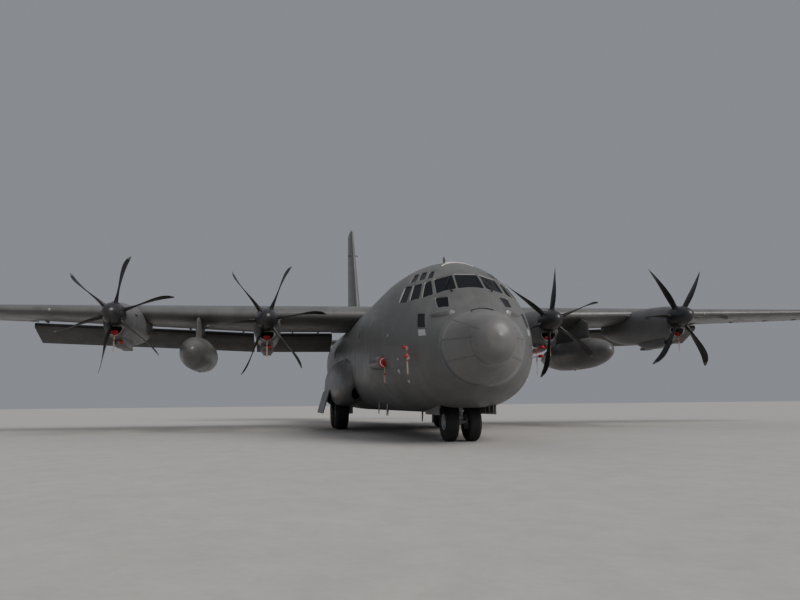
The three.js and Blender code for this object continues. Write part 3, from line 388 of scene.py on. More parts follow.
def boolean(target, tools, operation="DIFFERENCE"):
    """Cuts the tools out of target, or keeps it only inside them. The tools are used up."""
    group = bpy.data.collections.new("tools")
    bpy.context.scene.collection.children.link(group)
    for each in tools:
        group.objects.link(each)
    modifier = target.modifiers.new("cut", "BOOLEAN")
    modifier.operation = operation
    modifier.solver = "EXACT"
    modifier.operand_type = "COLLECTION"
    modifier.collection = group
    bpy.context.view_layer.update()
    evaluated = target.evaluated_get(bpy.context.evaluated_depsgraph_get())
    mesh = bpy.data.meshes.new_from_object(evaluated)
    target.modifiers.clear()
    target.data = mesh
    for each in tools:
        bpy.data.objects.remove(each)
    bpy.data.collections.remove(group)


class Surface:
    """A smooth surface that finished meshes take their normals from."""

    def __init__(self, verts, faces):
        mesh = bpy.data.meshes.new("surface")
        mesh.from_pydata([tuple(v) for v in verts], [], faces)
        self.points = [v.co.copy() for v in mesh.vertices]
        self.normals = [v.normal.copy() for v in mesh.vertices]
        self.faces = faces
        self.tree = BVHTree.FromPolygons(self.points, faces)
        bpy.data.meshes.remove(mesh)

    def normal(self, point):
        place, _, index, _ = self.tree.find_nearest(point)
        face = self.faces[index]
        weights = poly_3d_calc([self.points[i] for i in face], place)
        total = Vector((0, 0, 0))
        for i, w in zip(face, weights):
            total += self.normals[i] * w
        return total.normalized()


def follow(target, surfaces):
    """Gives the faces that lie on one of the surfaces its smooth normals."""
    near, square = 0.006, 0.9
    round_off(target, 30)
    mesh = target.data
    normals = [tuple(n.vector) for n in mesh.corner_normals]
    for polygon in mesh.polygons:
        for surface in surfaces:
            _, n, _, distance = surface.tree.find_nearest(polygon.center)
            if distance < near and abs(n.dot(polygon.normal)) > square:
                for index in polygon.loop_indices:
                    made = surface.normal(mesh.vertices[mesh.loops[index].vertex_index].co)
                    normals[index] = made if made.dot(polygon.normal) > 0 else -made
                break
    mesh.normals_split_custom_set(normals)


def soften_node(name, material, width, angle=32):
    """Keeps a CAD node, smooth where it is round and with softened edges."""
    node = NODES[name]
    weld = node.modifiers.new("weld", "WELD")
    weld.merge_threshold = 0.00005
    bevel = node.modifiers.new("bevel", "BEVEL")
    bevel.width = width
    bevel.segments = 2
    bevel.limit_method = "ANGLE"
    bevel.angle_limit = math.radians(angle)
    bevel.harden_normals = False
    node.data.polygons.foreach_set("use_smooth", [True] * len(node.data.polygons))
    node.modifiers.new("normals", "WEIGHTED_NORMAL").keep_sharp = True
    for slot in node.material_slots:
        slot.material = material


def ridden(made, stands_for=None, body="airframe"):
    """Lets a piece ride on its body, and stand for a CAD node where it has one."""
    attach(made, body)
    if stands_for:
        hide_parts(stands_for)
    return made


def fit(name, parts, material, stands_for=None, body="airframe"):
    return ridden(merged(name, parts, material), stands_for, body)


def streamer(name, points, width):
    """A cloth streamer that hangs along points (x, s, z). No words on it."""
    thick = 3
    path = [at(*p) for p in points]
    fine = [a.lerp(b, k / 6) for a, b in zip(path, path[1:]) for k in range(6)] + [path[-1]]
    rings = []
    for i, p in enumerate(fine):
        along = fine[min(i + 1, len(fine) - 1)] - fine[max(i - 1, 0)]
        turn = 0.5 * math.sin(2.2 * i / len(fine) + len(name))
        across = Vector((math.cos(turn), math.sin(turn), 0))
        out = along.cross(across).normalized()
        sway = out * (5 * math.sin(i * 0.9)) * S
        rings.append([p + sway + across * width * S * a + out * thick * S * b for a, b in (
            (-0.5, -0.5), (-0.2, -0.1), (0.2, -0.9), (0.5, -0.5),
            (0.5, 0.5), (0.2, 0.1), (-0.2, 0.9), (-0.5, 0.5))])
    made = mesh_object(name, *loft(rings), [streamer_cloth, faded_cloth])
    # Faded in its lower part, but for one band
    pale_from, pale_to = rings[len(rings) * 5 // 12][0].z, rings[len(rings) * 7 // 12][0].z
    for polygon in made.data.polygons:
        height = polygon.center.z
        polygon.material_index = int(height < pale_from and not pale_to - 40 * S < height < pale_to)
    ridden(made)


# Tables, as in the part's source

# Station, half width, top, bottom, height of the widest place, fullness of the lower half
BODY = [
    (0, 40, 2390, 2310, 2350, 2),
    (60, 260, 2620, 2080, 2350, 2),
    (250, 470, 2830, 1850, 2345, 2),
    (600, 650, 2970, 1640, 2330, 2),
    (1150, 980, 3120, 1360, 2300, 2.1),
    (1500, 1230, 3400, 1150, 2310, 2.2),
    (1950, 1480, 3800, 980, 2330, 2.3),
    (2350, 1650, 4160, 880, 2370, 2.4),
    (2800, 1800, 4440, 830, 2420, 2.5),
    (3400, 1950, 4690, 785, 2500, 2.7),
    (4100, 2080, 4800, 745, 2570, 2.9),
    (5460, 2160, 4850, 720, 2600, 3),
    (16100, 2160, 4850, 720, 2600, 3),
    (17000, 2160, 4850, 725, 2610, 3),
    (17960, 2155, 4855, 770, 2650, 3),
    (19500, 2120, 4860, 1250, 2860, 3),
    (21300, 2000, 4870, 1830, 3130, 3),
    (23000, 1780, 4885, 2430, 3450, 3),
    (25200, 1370, 4900, 3200, 3940, 2.6),
    (27200, 890, 4910, 3770, 4300, 2.2),
    (28800, 440, 4880, 4230, 4540, 2),
    (29790, 90, 4760, 4560, 4650, 2),
]
# Span, leading edge's station, its height, chord, thickness as a share, tilt in degrees
WING_BREAK = 5590
WING = [
    (0, 11600, 4420, 4880, 0.18, 2.2),
    (WING_BREAK, 11600, 4420, 4880, 0.18, 2.2),
    (19900, 12420, 4752, 2500, 0.12, 1),
    (20205, 12700, 4762, 1750, 0.06, 1),
]
# The cockpit's windows: name and corners, as (station, degrees from the top to the left)
WINDOWS = [
    ("centre", (1915, -12.6), (1915, 12.6), (2400, 9.4), (2400, -9.4)),
    ("front", (1925, 15.2), (2035, 33.5), (2490, 27), (2410, 12.2)),
    ("lower_a", (2075, 36.8), (2230, 46), (2590, 34.5), (2530, 29.8)),
    ("lower_b", (2300, 48), (2560, 54), (2860, 42), (2650, 36.8)),
    ("lower_c", (2650, 56), (2990, 58.5), (3190, 46), (2920, 42.8)),
    ("upper_a", (2590, 26.8), (2700, 30.5), (2970, 24.5), (2900, 21)),
    ("upper_b", (2760, 32.2), (2910, 36), (3190, 29.5), (3050, 25.8)),
    ("upper_c", (2980, 37.5), (3180, 41.5), (3400, 34), (3250, 30.8)),
    ("chin", (1510, 34), (1675, 42.5), (1935, 37.5), (1770, 27.5)),
]
# Where the body's parts meet and its hollow ends, and the walls' thickness
RADOME_END, COCKPIT_END, RAMP_HINGE, HOLLOW_END = 1150, 5460, 17960, 28700
HULL_WALL, AFT_WALL = 80, 50
# Where the hollow starts, the hold's floor, and the rear edges of the ramp and of the aft door
HOLLOW_START, FLOOR = 1270, 1030
RAMP_END, RAMP_TOP, AFT_DOOR_END, AFT_DOOR_TOP = 21300, 2100, 25200, 3450
# Doorways: inner x, first and last station, low and high
CREW_DOOR, TROOP_DOOR = (900, 3740, 4560, 1120, 2640), (1300, 16940, 17850, 1050, 2880)
ROUND_WINDOWS = (6900, 10300, 15300)


def linear(table, place, column):
    i = 0
    while i < len(table) - 2 and place > table[i + 1][0]:
        i += 1
    share = (place - table[i][0]) / (table[i + 1][0] - table[i][0])
    return table[i][column] + (table[i + 1][column] - table[i][column]) * share


def smooth_at(table, place, column):
    """On a smooth curve through every row that never overshoots between two."""
    last = len(table) - 1

    def slope(i):
        return (table[i + 1][column] - table[i][column]) / (table[i + 1][0] - table[i][0])

    def tangent(i):
        if i == 0:
            return slope(0)
        if i == last:
            return slope(last - 1)
        before, after = slope(i - 1), slope(i)
        return 0 if before * after <= 0 else 2 * before * after / (before + after)

    i = 0
    while i < last - 1 and place > table[i + 1][0]:
        i += 1
    step = table[i + 1][0] - table[i][0]
    t = (place - table[i][0]) / step
    return ((1 + 2 * t) * (1 - t) ** 2 * table[i][column] + t * (1 - t) ** 2 * step * tangent(i)
            + t * t * (3 - 2 * t) * table[i + 1][column] + t * t * (t - 1) * step * tangent(i + 1))


def signed(value, power):
    return math.copysign(abs(value) ** power, value)


def body_row(station):
    return [smooth_at(BODY, station, c) for c in (1, 2, 3, 4, 5)]


def waist(station, degrees):
    """How far the cheeks and the chin draw in behind the bulb of the nose."""
    reach = 170 if station < 560 else 300
    turn = abs((degrees + 180) % 360 - 180)
    t = min(1, max(0, (turn - 40) / 50))
    return 92 * math.exp(-(((station - 560) / reach) ** 2)) * t * t * (3 - 2 * t)


def body_point(station, degrees, inset=0.0):
    """The body's surface at a station, turned from the top towards the left."""
    width, top, bottom, wide, full = body_row(station)
    a = math.radians(degrees)
    upper = math.cos(a) >= 0
    power = 1.0 if upper else 2 / full
    if station < 2200:
        inset = inset + waist(station, degrees)
    height = (top - wide if upper else wide - bottom) - inset
    return at((width - inset) * signed(math.sin(a), power), station,
              wide + height * signed(math.cos(a), power))


def on_side(side, station, z, out=0.0):
    """The point of the skin at that height on one side, moved outwards."""
    width, top, bottom, wide, full = body_row(station)
    up = z >= wide
    n = 2 if up else full
    if station < 2200:
        drawn = waist(station, 90 - math.degrees(math.atan2(z - wide, width)))
        width -= drawn
        bottom += drawn
    share = min(0.9999, abs(z - wide) / (top - wide if up else wide - bottom))
    x = width * (1 - share ** n) ** (1 / n)
    return at(side * (x + out), station, z)


def on_belly(x, s):
    """The height of the underside at a distance from the centre line."""
    width, _, bottom, wide, full = body_row(s)
    return wide - (wide - bottom) * (1 - min(0.99, abs(x) / width) ** full) ** (1 / full)


def body_stations(start, end):
    fine = [1150 * (k / 26) ** 1.8 for k in range(27)]
    fine += list(np.arange(1150, 5460, 110)) + [5460] + list(np.arange(5960, 16100, 1000))
    fine += list(np.arange(16100, LENGTH, 330)) + [LENGTH]
    return [start] + [float(s) for s in fine if start + 5 < s < end - 5] + [end]


def body_rings(start, end, inset=0.0, count=128):
    return [[body_point(s, 360 * k / count, inset) for k in range(count)]
            for s in body_stations(start, end)]


def body_uv(point):
    """Along the body, and round it from the keel, in metres."""
    s = point.y / S + LENGTH / 2
    wide = smooth_at(BODY, min(max(s, 0), LENGTH), 4) * S
    return (point.y, math.atan2(point.x, point.z - wide) * 1.08)


def give_body_uv(made):
    mesh = made.data
    layer = mesh.uv_layers.get("UVMap") or mesh.uv_layers.new(name="UVMap")
    for polygon in mesh.polygons:
        around = [body_uv(mesh.vertices[mesh.loops[i].vertex_index].co)
                  for i in polygon.loop_indices]
        seam = max(v for _, v in around) - min(v for _, v in around) > 3
        for i, (u, v) in zip(polygon.loop_indices, around):
            layer.data[i].uv = (u, v + 2 * math.pi * 1.08 if seam and v < 0 else v)


OUTER = Surface(*loft(body_rings(0, LENGTH), caps=False))
INNER = Surface(*loft(body_rings(HOLLOW_START, HOLLOW_END, HULL_WALL), caps=False))
INNER_AFT = Surface(*loft(body_rings(17000, HOLLOW_END, AFT_WALL), caps=False))


def body_solid(name, start, end, inset=0.0, material=body_paint):
    return mesh_object(name, *loft(body_rings(start, end, inset)), material)


def box_tool(low, high):
    (x0, s0, z0), (x1, s1, z1) = low, high
    return tool([[at(x0, s0, z), at(x1, s0, z), at(x1, s1, z), at(x0, s1, z)] for z in (z0, z1)],
                smooth=False)


def door_tool(side, door, grow):
    """Cuts a doorway (inner x, first and last station, low and high) through one side."""
    x, s0, s1, z0, z1 = door
    return box_tool((side * x, s0 - grow, z0 - grow), (side * 2600, s1 + grow, z1 + grow))


def wedge_tool(front, back, halves, slants):
    """Cuts out of the underside, from the front edge (station, height) to the back edge."""
    (s0, z0), (s1, z1), (w0, w1), (slant0, slant1), low = front, back, halves, slants, 500
    return tool([[at(side * w0, s0, z0), at(side * w1, s1, z1),
                  at(side * w1, s1 + (z1 + low) * slant1, -low),
                  at(side * w0, s0 + (z0 + low) * slant0, -low)] for side in (-1, 1)], smooth=False)


def rounded(corners, radius=45, steps=4):
    """A polygon of (station, degrees) with its corners rounded, the radius in millimetres."""
    points = []
    count = len(corners)
    places = [body_point(*c) for c in corners]
    for i in range(count):
        here = np.array(corners[i], float)
        ends = []
        for j in ((i - 1) % count, (i + 1) % count):
            length = (places[j] - places[i]).length / S
            ends.append(here + (np.array(corners[j], float) - here) * min(0.45, radius / length))
        for t in (k / steps for k in range(steps + 1)):
            points.append(tuple((1 - t) ** 2 * ends[0] + 2 * t * (1 - t) * here + t * t * ends[1]))
    return points


def grown(corners, amount):
    """The polygon moved outwards by an amount in millimetres, as (station, degrees)."""
    middle = np.mean(np.array(corners, float), axis=0)
    centre = body_point(*middle)
    made = []
    for c in corners:
        length = (body_point(*c) - centre).length / S
        made.append(tuple(middle + (np.array(c, float) - middle) * (1 + amount / length)))
    return made


def all_windows():
    """The rounded outline of each cockpit window, on both sides."""
    for name, *corners in WINDOWS:
        corners = grown(corners, 22)
        yield rounded(corners)
        if name != "centre":
            yield rounded([(s, -d) for s, d in corners][::-1])


def finish_skin(made, surfaces, stands_for, body="airframe"):
    follow(made, surfaces)
    give_body_uv(made)
    ridden(made, stands_for, body)


def make_body():
    radome = body_solid("radome_skin", 0, RADOME_END - 1, material=radome_paint)
    follow(radome, [OUTER])
    ridden(radome, "radome")

    # Cockpit and crew door
    shell = body_solid("cockpit_skin", RADOME_END, COCKPIT_END - 1)
    boolean(shell, [body_solid("tool", HOLLOW_START, COCKPIT_END + 50, HULL_WALL)])
    door = duplicate(shell, "crew_door_skin")
    windows = [tool([[body_point(s, d, inset) for s, d in outline] for inset in (300, -200)],
                    smooth=False) for outline in all_windows()]
    wheel_well = box_tool((-700, 2600, 0), (700, 4000, 1195))
    boolean(shell, [door_tool(1, CREW_DOOR, 14), wheel_well, *windows])
    finish_skin(shell, [OUTER, INNER], "cockpit_shell")
    boolean(door, [door_tool(1, CREW_DOOR, 0)], "INTERSECT")
    finish_skin(door, [OUTER, INNER], "crew_door", "crew_door")

    # Lining of the nose wheel's well: its roof, its four walls and its ribs
    lining = [block((-760, 2540, 1200), (760, 4060, 1258), 6)]
    for a, b, (dx, ds) in (
            ((-731, 2560), (-731, 4040), (29, 0)), ((731, 2560), (731, 4040), (29, 0)),
            ((-702, 2569), (702, 2569), (0, 29)), ((-702, 4031), (702, 4031), (0, 29))):
        rings = []
        for k in range(13):
            x, s = (a[i] + (b[i] - a[i]) * k / 12 for i in (0, 1))
            low = max(on_belly(x + dx, s), on_belly(x - dx, s)) + 20
            rings.append([at(x + sign * dx, s + sign * ds, z)
                          for sign, z in ((-1, low), (1, low), (1, 1204), (-1, 1204))])
        lining.append(loft(rings))
    for s in (2900, 3300, 3700):
        lining.append(block((-700, s - 14, 1165), (700, s + 14, 1200), 3))
        for side in (-1, 1):
            lining.append(block((side * 672, s - 14, 960), (side * 702, s + 14, 1200), 3))
    fit("nose_well", lining, white_paint)

    # Hold, with the paratroop doors, the wing's seat and the round windows
    hold = body_solid("hold_skin", COCKPIT_END, RAMP_HINGE - 1)
    boolean(hold, [body_solid("tool", COCKPIT_END - 100, RAMP_HINGE + 100, HULL_WALL)])
    whole = duplicate(hold, "whole")
    tools = [door_tool(side, TROOP_DOOR, 1) for side in (-1, 1)]
    tools.append(tool([[wing_place(side, WING_BREAK, u, off)
                        for u, off in wing_outline(WING_BREAK, grow=6)] for side in (-1, 1)]))
    for side in (-1, 1):
        for s in ROUND_WINDOWS:
            hole = rod((side * 1700, s, 3050), (side * 2500, s, 3120), 150, 32)
            tools.append(mesh_object("tool", *hole, body_paint))
    boolean(hold, tools)
    finish_skin(hold, [OUTER, INNER], "cargo_fuselage")
    for name, side in SIDES:
        leaf = duplicate(whole, f"paratroop_{name}_skin")
        boolean(leaf, [door_tool(side, TROOP_DOOR, -5)], "INTERSECT")
        finish_skin(leaf, [OUTER, INNER], "paratroop_door_" + name)
    bpy.data.objects.remove(whole)

    # Aft fuselage
    aft = body_solid("aft_skin", RAMP_HINGE, LENGTH)
    boolean(aft, [body_solid("tool", RAMP_HINGE - 100, HOLLOW_END, AFT_WALL)])
    clear, slant = 14, math.tan(math.radians(25))
    boolean(aft, [
        wedge_tool((RAMP_HINGE - clear, FLOOR + clear), (RAMP_END, RAMP_TOP + clear),
                   (1400 + clear, 1400 + clear), (0, slant)),
        wedge_tool((RAMP_END - clear, RAMP_TOP + clear),
                   (AFT_DOOR_END + clear, AFT_DOOR_TOP + clear),
                   (1300 + clear, 850 + clear), (slant, 0))])
    finish_skin(aft, [OUTER, INNER_AFT], "aft_fuselage")


# Wing and tail sections, each as (share of the chord, height above the chord)

CAMBER = 0.02
FLAP_LENGTH, FLAP_BARE = 1300, 620
FLAP_INNER_START, FLAP_OUTER_END, AILERON_START, AILERON_END = 2200, 14600, 14780, 19500
FLAP_END_CLEAR, FLAP_DOWN, FLAP_PIVOT = 110, 31, (20, -1250)
CONTROL_CLEAR = 24
# As the wing's table; the fin's spans are heights
TAILPLANE = [
    (0, 24950, 4640, 2900, 0.12, 0),
    (7850, 26130, 4640, 1560, 0.1, 0),
    (8025, 26350, 4640, 1080, 0.06, 0),
]
FIN = [
    (4500, 23050, 0, 5900, 0.11, 0),
    (11650, 26150, 0, 2420, 0.1, 0),
    (11840, 26500, 0, 1850, 0.05, 0),
]
# Surfaces with a control hinged to them: table, camber, the control's first and last span, hinge's
# share of the chord. The control's nose is round about its hinge, and the cove ahead of it as well.
AILERON = (WING, CAMBER, AILERON_START, AILERON_END, 0.74)
ELEVATOR = (TAILPLANE, 0, 980, 7800, 0.6)
RUDDER = (FIN, 0, 5080, 11500, 0.72)


def half_thickness(thick, u):
    curve = 0.2969 * math.sqrt(u) - 0.126 * u - 0.3516 * u**2 + 0.2843 * u**3 - 0.1 * u**4
    return 5 * thick * curve + 0.0012


def face_height(table, camber, span, u, sign):
    """Of the upper face, or of the lower one where the sign is -1."""
    chord, thick = linear(table, span, 3), linear(table, span, 4)
    return chord * (4 * camber * u * (1 - u) + sign * half_thickness(thick, u))


def wing_face(span, u, sign):
    return face_height(WING, CAMBER, span, u, sign)


def wing_place(side, span, u, off):
    lead, height, chord, _, tilt = (linear(WING, span, c) for c in (1, 2, 3, 4, 5))
    a = math.radians(tilt)
    return at(side * span, lead + u * chord * math.cos(a) + off * math.sin(a),
              height - u * chord * math.sin(a) + off * math.cos(a))


def tail_place(side, span, u, off):
    lead, height, chord = (linear(TAILPLANE, span, c) for c in (1, 2, 3))
    return at(side * span, lead + u * chord, height + off)


def fin_place(_, span, u, off):
    return at(off, linear(FIN, span, 1) + u * linear(FIN, span, 3), span)


def flap_nose(span):
    return 1 - FLAP_LENGTH / linear(WING, span, 3)


def shroud_end(span):
    return 1 - FLAP_BARE / linear(WING, span, 3)


def shroud_under(span, u):
    """The height of the underside of the wing's skin over the flap."""
    front, rear = flap_nose(span), shroud_end(span)
    share = (u - front) / (rear - front)
    skin = linear(WING, span, 3) * (0.012 + (0.004 - 0.012) * share)
    ends = [wing_face(span, v, 1) for v in (front, rear)]
    return ends[0] + (ends[1] - ends[0]) * share - skin


def section(face, top_end, low_end):
    """From the rear over the top to the nose and back below, in points that lie closer together
    near the nose. face gives the height at a share of the chord, above and below."""
    def run(end, sign, first=0.0001, count=30):
        low, high = math.sqrt(first), math.sqrt(end)
        shares = [(low + (high - low) * k / count) ** 2 for k in range(count + 1)]
        return [(u, face(u, sign)) for u in shares]

    return run(top_end, 1)[::-1] + run(low_end, -1)


def wing_outline(span, flapped=False, grow=0.0):
    def face(u, sign):
        return wing_face(span, u, sign) + sign * grow

    if not flapped:
        return section(face, 1.0, 1.0)
    nose, rear = flap_nose(span), shroud_end(span)
    return section(face, rear, nose) + [(u, shroud_under(span, u)) for u in (nose, rear)]


def wing_run(side, spans, flapped=False):
    return loft([[wing_place(side, x, u, off) for u, off in wing_outline(x, flapped)]
                 for x in spans])


def fixed_outline(control, span, cut):
    """The section of a fixed surface, whole or with a cove for the control."""
    table, camber, _, _, hinge = control
    chord, thick = linear(table, span, 3), linear(table, span, 4)

    def face(u, sign):
        return face_height(table, camber, span, u, sign)

    if not cut:
        return section(face, 1, 1)
    nose = chord * half_thickness(thick, hinge)
    cove = nose + CONTROL_CLEAR
    middle = 4 * camber * chord * hinge * (1 - hinge)
    start = math.pi - math.acos(math.sqrt(1 - (nose * 1.04 / cove) ** 2))
    end = hinge + cove * math.cos(start) / chord
    points = section(face, end, end)
    for k in range(1, 10):
        a = 2 * math.pi - start - (2 * math.pi - 2 * start) * k / 10
        points.append((hinge + cove * math.cos(a) / chord, middle + cove * math.sin(a)))
    return points


def fixed_run(control, place, side, spans, cut=False):
    return loft([[place(side, x, u, off) for u, off in fixed_outline(control, x, cut)]
                 for x in spans])


def fixed_runs(control, place, side, root, tips):
    """A fixed surface inboard of its control, ahead of it, and outboard of it to the tip."""
    start, end = control[2] - CONTROL_CLEAR, control[3] + CONTROL_CLEAR
    return [fixed_run(control, place, side, (root, start)),
            fixed_run(control, place, side, (start, end), True),
            fixed_run(control, place, side, (end, *tips))]


def make_control(name, control, place, side, wicks):
    """A hinged surface with the static wicks on its rear edge."""
    table, camber, start, end, hinge = control
    rings = []
    for k in range(5):
        x = start + (end - start) * k / 4
        chord = linear(table, x, 3)
        nose = chord * half_thickness(linear(table, x, 4), hinge)
        middle = 4 * camber * chord * hinge * (1 - hinge)
        outline = [(hinge + nose * math.cos(a) / chord, middle + nose * math.sin(a))
                   for a in np.linspace(math.pi / 2, 3 * math.pi / 2, 17)]
        low, high = ([(hinge + (1 - hinge) * t, (middle + sign * nose) * (1 - t) + sign * 6 * t)
                      for t in (0.35, 0.7, 0.93)] for sign in (-1, 1))
        outline += low + [(1 - 4 / chord, -6), (1, -3), (1, 3), (1 - 4 / chord, 6)] + high[::-1]
        rings.append([place(side, x, u, off) for u, off in outline])
    parts = marked(0, loft(rings))
    wick = [(0, 0), (9, 0), (9, 40), (4, 60), (4, 200), (0, 205)]
    for k in range(wicks):
        x = start + (end - start) * (0.35 + 0.62 * k / max(1, wicks - 1))
        root, tip = place(side, x, 0.992, 0), place(side, x, 1, 0) + Vector((0, 190 * S, 0))
        parts += marked(1, turned(wick, root, tip - root, 8))
    fit(name + "_skin", parts, [tail_paint, black_paint], name, name)


# The flap's gap below the shroud and behind the cove, and the place of its bends, as shares
FLAP_GAP, FLAP_STEP, FLAP_WAIST = 0.01, 0.008, 0.6


def stiffener_places(span):
    """Where a flap's upper face bends, as (share of the chord, height)."""
    rear = shroud_end(span)
    waist_at = flap_nose(span) + FLAP_STEP + (rear - flap_nose(span) - FLAP_STEP) * FLAP_WAIST
    heights = [shroud_under(span, u) - FLAP_GAP * linear(WING, span, 3) for u in (waist_at, rear)]
    return ((waist_at, heights[0]), (rear, heights[1]),
            (rear + (1 - rear) * FLAP_WAIST, heights[1] * 0.4 + 4.8))


def flap_outline(span):
    chord = linear(WING, span, 3)
    drop = FLAP_GAP * chord
    nose = flap_nose(span) + FLAP_STEP

    def top(u):
        return shroud_under(span, u) - drop

    def under(u):
        return wing_face(span, u, -1)

    middle = (top(nose) + under(nose)) / 2
    curve = [(nose + 0.09, top(nose + 0.09) - drop / 2), (nose + 0.032, top(nose + 0.032) - drop),
             (nose + 0.008, middle + 0.6 * (top(nose) - middle)), (nose, middle),
             (nose + 0.008, middle + 0.7 * (under(nose) - middle)),
             (nose + 0.032, under(nose + 0.032)), (nose + 0.08, under(nose + 0.08))]
    for _ in range(3):
        cut = [curve[0]]
        for a, b in zip(curve, curve[1:]):
            cut += [(a[0] * 0.75 + b[0] * 0.25, a[1] * 0.75 + b[1] * 0.25),
                    (a[0] * 0.25 + b[0] * 0.75, a[1] * 0.25 + b[1] * 0.75)]
        curve = cut + [curve[-1]]
    waist_place, rear_place, slope_place = stiffener_places(span)
    return ([(1, 6), (1 - 5 / chord, 9), slope_place, rear_place, waist_place] + curve
            + [(u, under(u)) for u in np.linspace(nose + 0.1, rear_place[0], 5)]
            + [(1 - 5 / chord, -8), (1, -6)])


def make_flap(name, side, start, end):
    behind, off = FLAP_PIVOT
    a, b = (wing_place(side, x, flap_nose(x) + behind / linear(WING, x, 3), off)
            for x in (start, end))
    axis = (b - a).normalized() * side
    down = (Matrix.Translation(a) @ Matrix.Rotation(math.radians(-FLAP_DOWN), 4, axis)
            @ Matrix.Translation(-a))
    parts = [loft([[down @ wing_place(side, x, u, off) for u, off in flap_outline(x)]
                   for x in np.linspace(start, end, 4)])]
    # Stiffeners along the upper face
    count = round((end - start) / 1100)
    for k in range(count + 1):
        x = start + 60 + (end - start - 120) * k / count
        parts.append(loft([[down @ wing_place(side, x + dx, u, rise + dz)
                            for dx, dz in ((-15, -9), (15, -9), (12, 7), (-12, 7))]
                           for u, rise in stiffener_places(x)]))
    fit(name + "_skin", parts, flap_paint, name, name)


def make_wings():
    centre = []
    for _, side in SIDES:
        centre.append(wing_run(side, (0, FLAP_INNER_START - 14)))
        centre.append(wing_run(side, (FLAP_INNER_START - 14, WING_BREAK - 1), True))
    fit("wing_centre_skin", centre, wing_paint, "wing_centre")
    flap_wall = FLAP_OUTER_END + FLAP_END_CLEAR
    outer_spans = (AILERON_END + CONTROL_CLEAR, 19900, 20000, 20080, 20140, 20180, 20203)
    lamp = [(0, -30), (1, -30), (1, 6), (0.8, 22), (0.4, 34), (0, 38)]
    for name, side in SIDES:
        runs = [wing_run(side, (WING_BREAK, 10000, flap_wall), True),
                wing_run(side, (flap_wall, AILERON_START - CONTROL_CLEAR)),
                fixed_run(AILERON, wing_place, side,
                          (AILERON_START - CONTROL_CLEAR, AILERON_END + CONTROL_CLEAR), True),
                wing_run(side, outer_spans)]
        fit(f"wing_{name}_skin", runs, wing_paint, "wing_" + name)
        make_control("aileron_" + name, AILERON, wing_place, side, 5)
        make_flap(f"flap_{name}_inner", side, FLAP_INNER_START, WING_BREAK - 14)
        make_flap(f"flap_{name}_outer", side, WING_BREAK + 14, FLAP_OUTER_END)
        # Fairings of the flaps' tracks and the ailerons' hinges, landing lights and tips' lamps
        fittings = []
        for span in (2900, 4000, 6100, 8300, 11500, 13900):
            rings = []
            for back, half, deep in ((560, 8, 4), (460, 26, 40), (300, 36, 74), (120, 36, 84),
                                     (34, 30, 70), (16, 22, 40)):
                u = flap_nose(span) - back / linear(WING, span, 3)
                low = wing_face(span, u, -1)
                rings.append([wing_place(side, span + half * dx, u, low + dz) for dx, dz in
                              ((-1, 30), (-1, -deep * 0.6), (-0.6, -deep),
                               (0.6, -deep), (1, -deep * 0.6), (1, 30))])
            fittings.append(loft(rings))
        for span in (16000, 17600, 19000):
            u = AILERON[4] - 0.13
            low = wing_face(span, u, -1)
            fittings.append(loft([[wing_place(side, span + dx, u + du, low + dz) for dx, dz in
                                   ((-18, 20), (-18, -deep), (18, -deep), (18, 20))]
                                  for du, deep in ((-0.04, 3), (0, 34), (0.05, 38), (0.07, 20))]))
        fit(f"wing_fairings_{name}", fittings, wing_paint)
        lamps = [turned([(radius * r, a) for r, a in lamp], wing_place(side, span, u, 0),
                        (side * 0.12, -1, 0), 24)
                 for span, u, radius in ((13200, 0.006, 60), (20120, 0.03, 40))]
        fit(f"wing_lamps_{name}", lamps, lamp_glass)


def make_tail():
    runs = []
    for _, side in SIDES:
        runs += fixed_runs(ELEVATOR, tail_place, side, 0, (7850, 7930, 7980, 8010, 8023))
    fit("tailplane_skin", runs, tail_paint, "tailplane")
    for name, side in SIDES:
        make_control("elevator_" + name, ELEVATOR, tail_place, side, 5)
    parts = fixed_runs(RUDDER, fin_place, 1, 4842, (11650, 11730, 11790, 11822, 11836))
    # The fillet ahead of the fin
    half = [(0.22, 0.985), (0.5, 0.9), (0.72, 0.7), (0.9, 0.35), (1.2, 0.12), (1.7, 0)]
    arch = [(-x, z) for x, z in half[::-1]] + [(0, 1)] + half
    rings = []
    for s in (20950, 21100, 21500, 22000, 22500, 23000, 23400, 23700, 24000):
        base = body_row(s)[1] - 40
        rise = max(30, 4650 + (min(s, 23600) - 20200) * 0.2758 - base)
        wide = 22 + 0.02 * (s - 20950)
        rings.append([at(wide * x, s, base + rise * z) for x, z in arch])
    parts.append(loft(rings))
    # The small blades on both sides near the top, the lamp on it, and the lamp in the tail
    z = 10050
    for side in (-1, 1):
        rings = []
        for reach, length in ((60, 300), (160, 280), (270, 210), (318, 150), (330, 90)):
            middle = linear(FIN, z, 1) + 0.14 * linear(FIN, z, 3) + 0.25 * reach
            rings.append([at(side * reach, middle - 0.5 * length * math.cos(a),
                             z + 15 * math.sin(a)) for a in angles(16)])
        parts.append(loft(rings))
    parts.append(turned([(0, -20), (48, -20), (48, 0), (40, 24), (20, 38), (0, 42)],
                        at(0, linear(FIN, 11800, 1) + 700, 11830), "z", 20))
    parts.append(turned([(0, -60), (84, -60), (88, 0), (80, 26), (56, 48), (24, 58), (0, 60)],
                        at(0, LENGTH - 4, 4660), "y", 28))
    fit("fin_skin", parts, tail_paint, "fin")
    make_control("rudder", RUDDER, fin_place, 1, 4)


# Engines and propellers

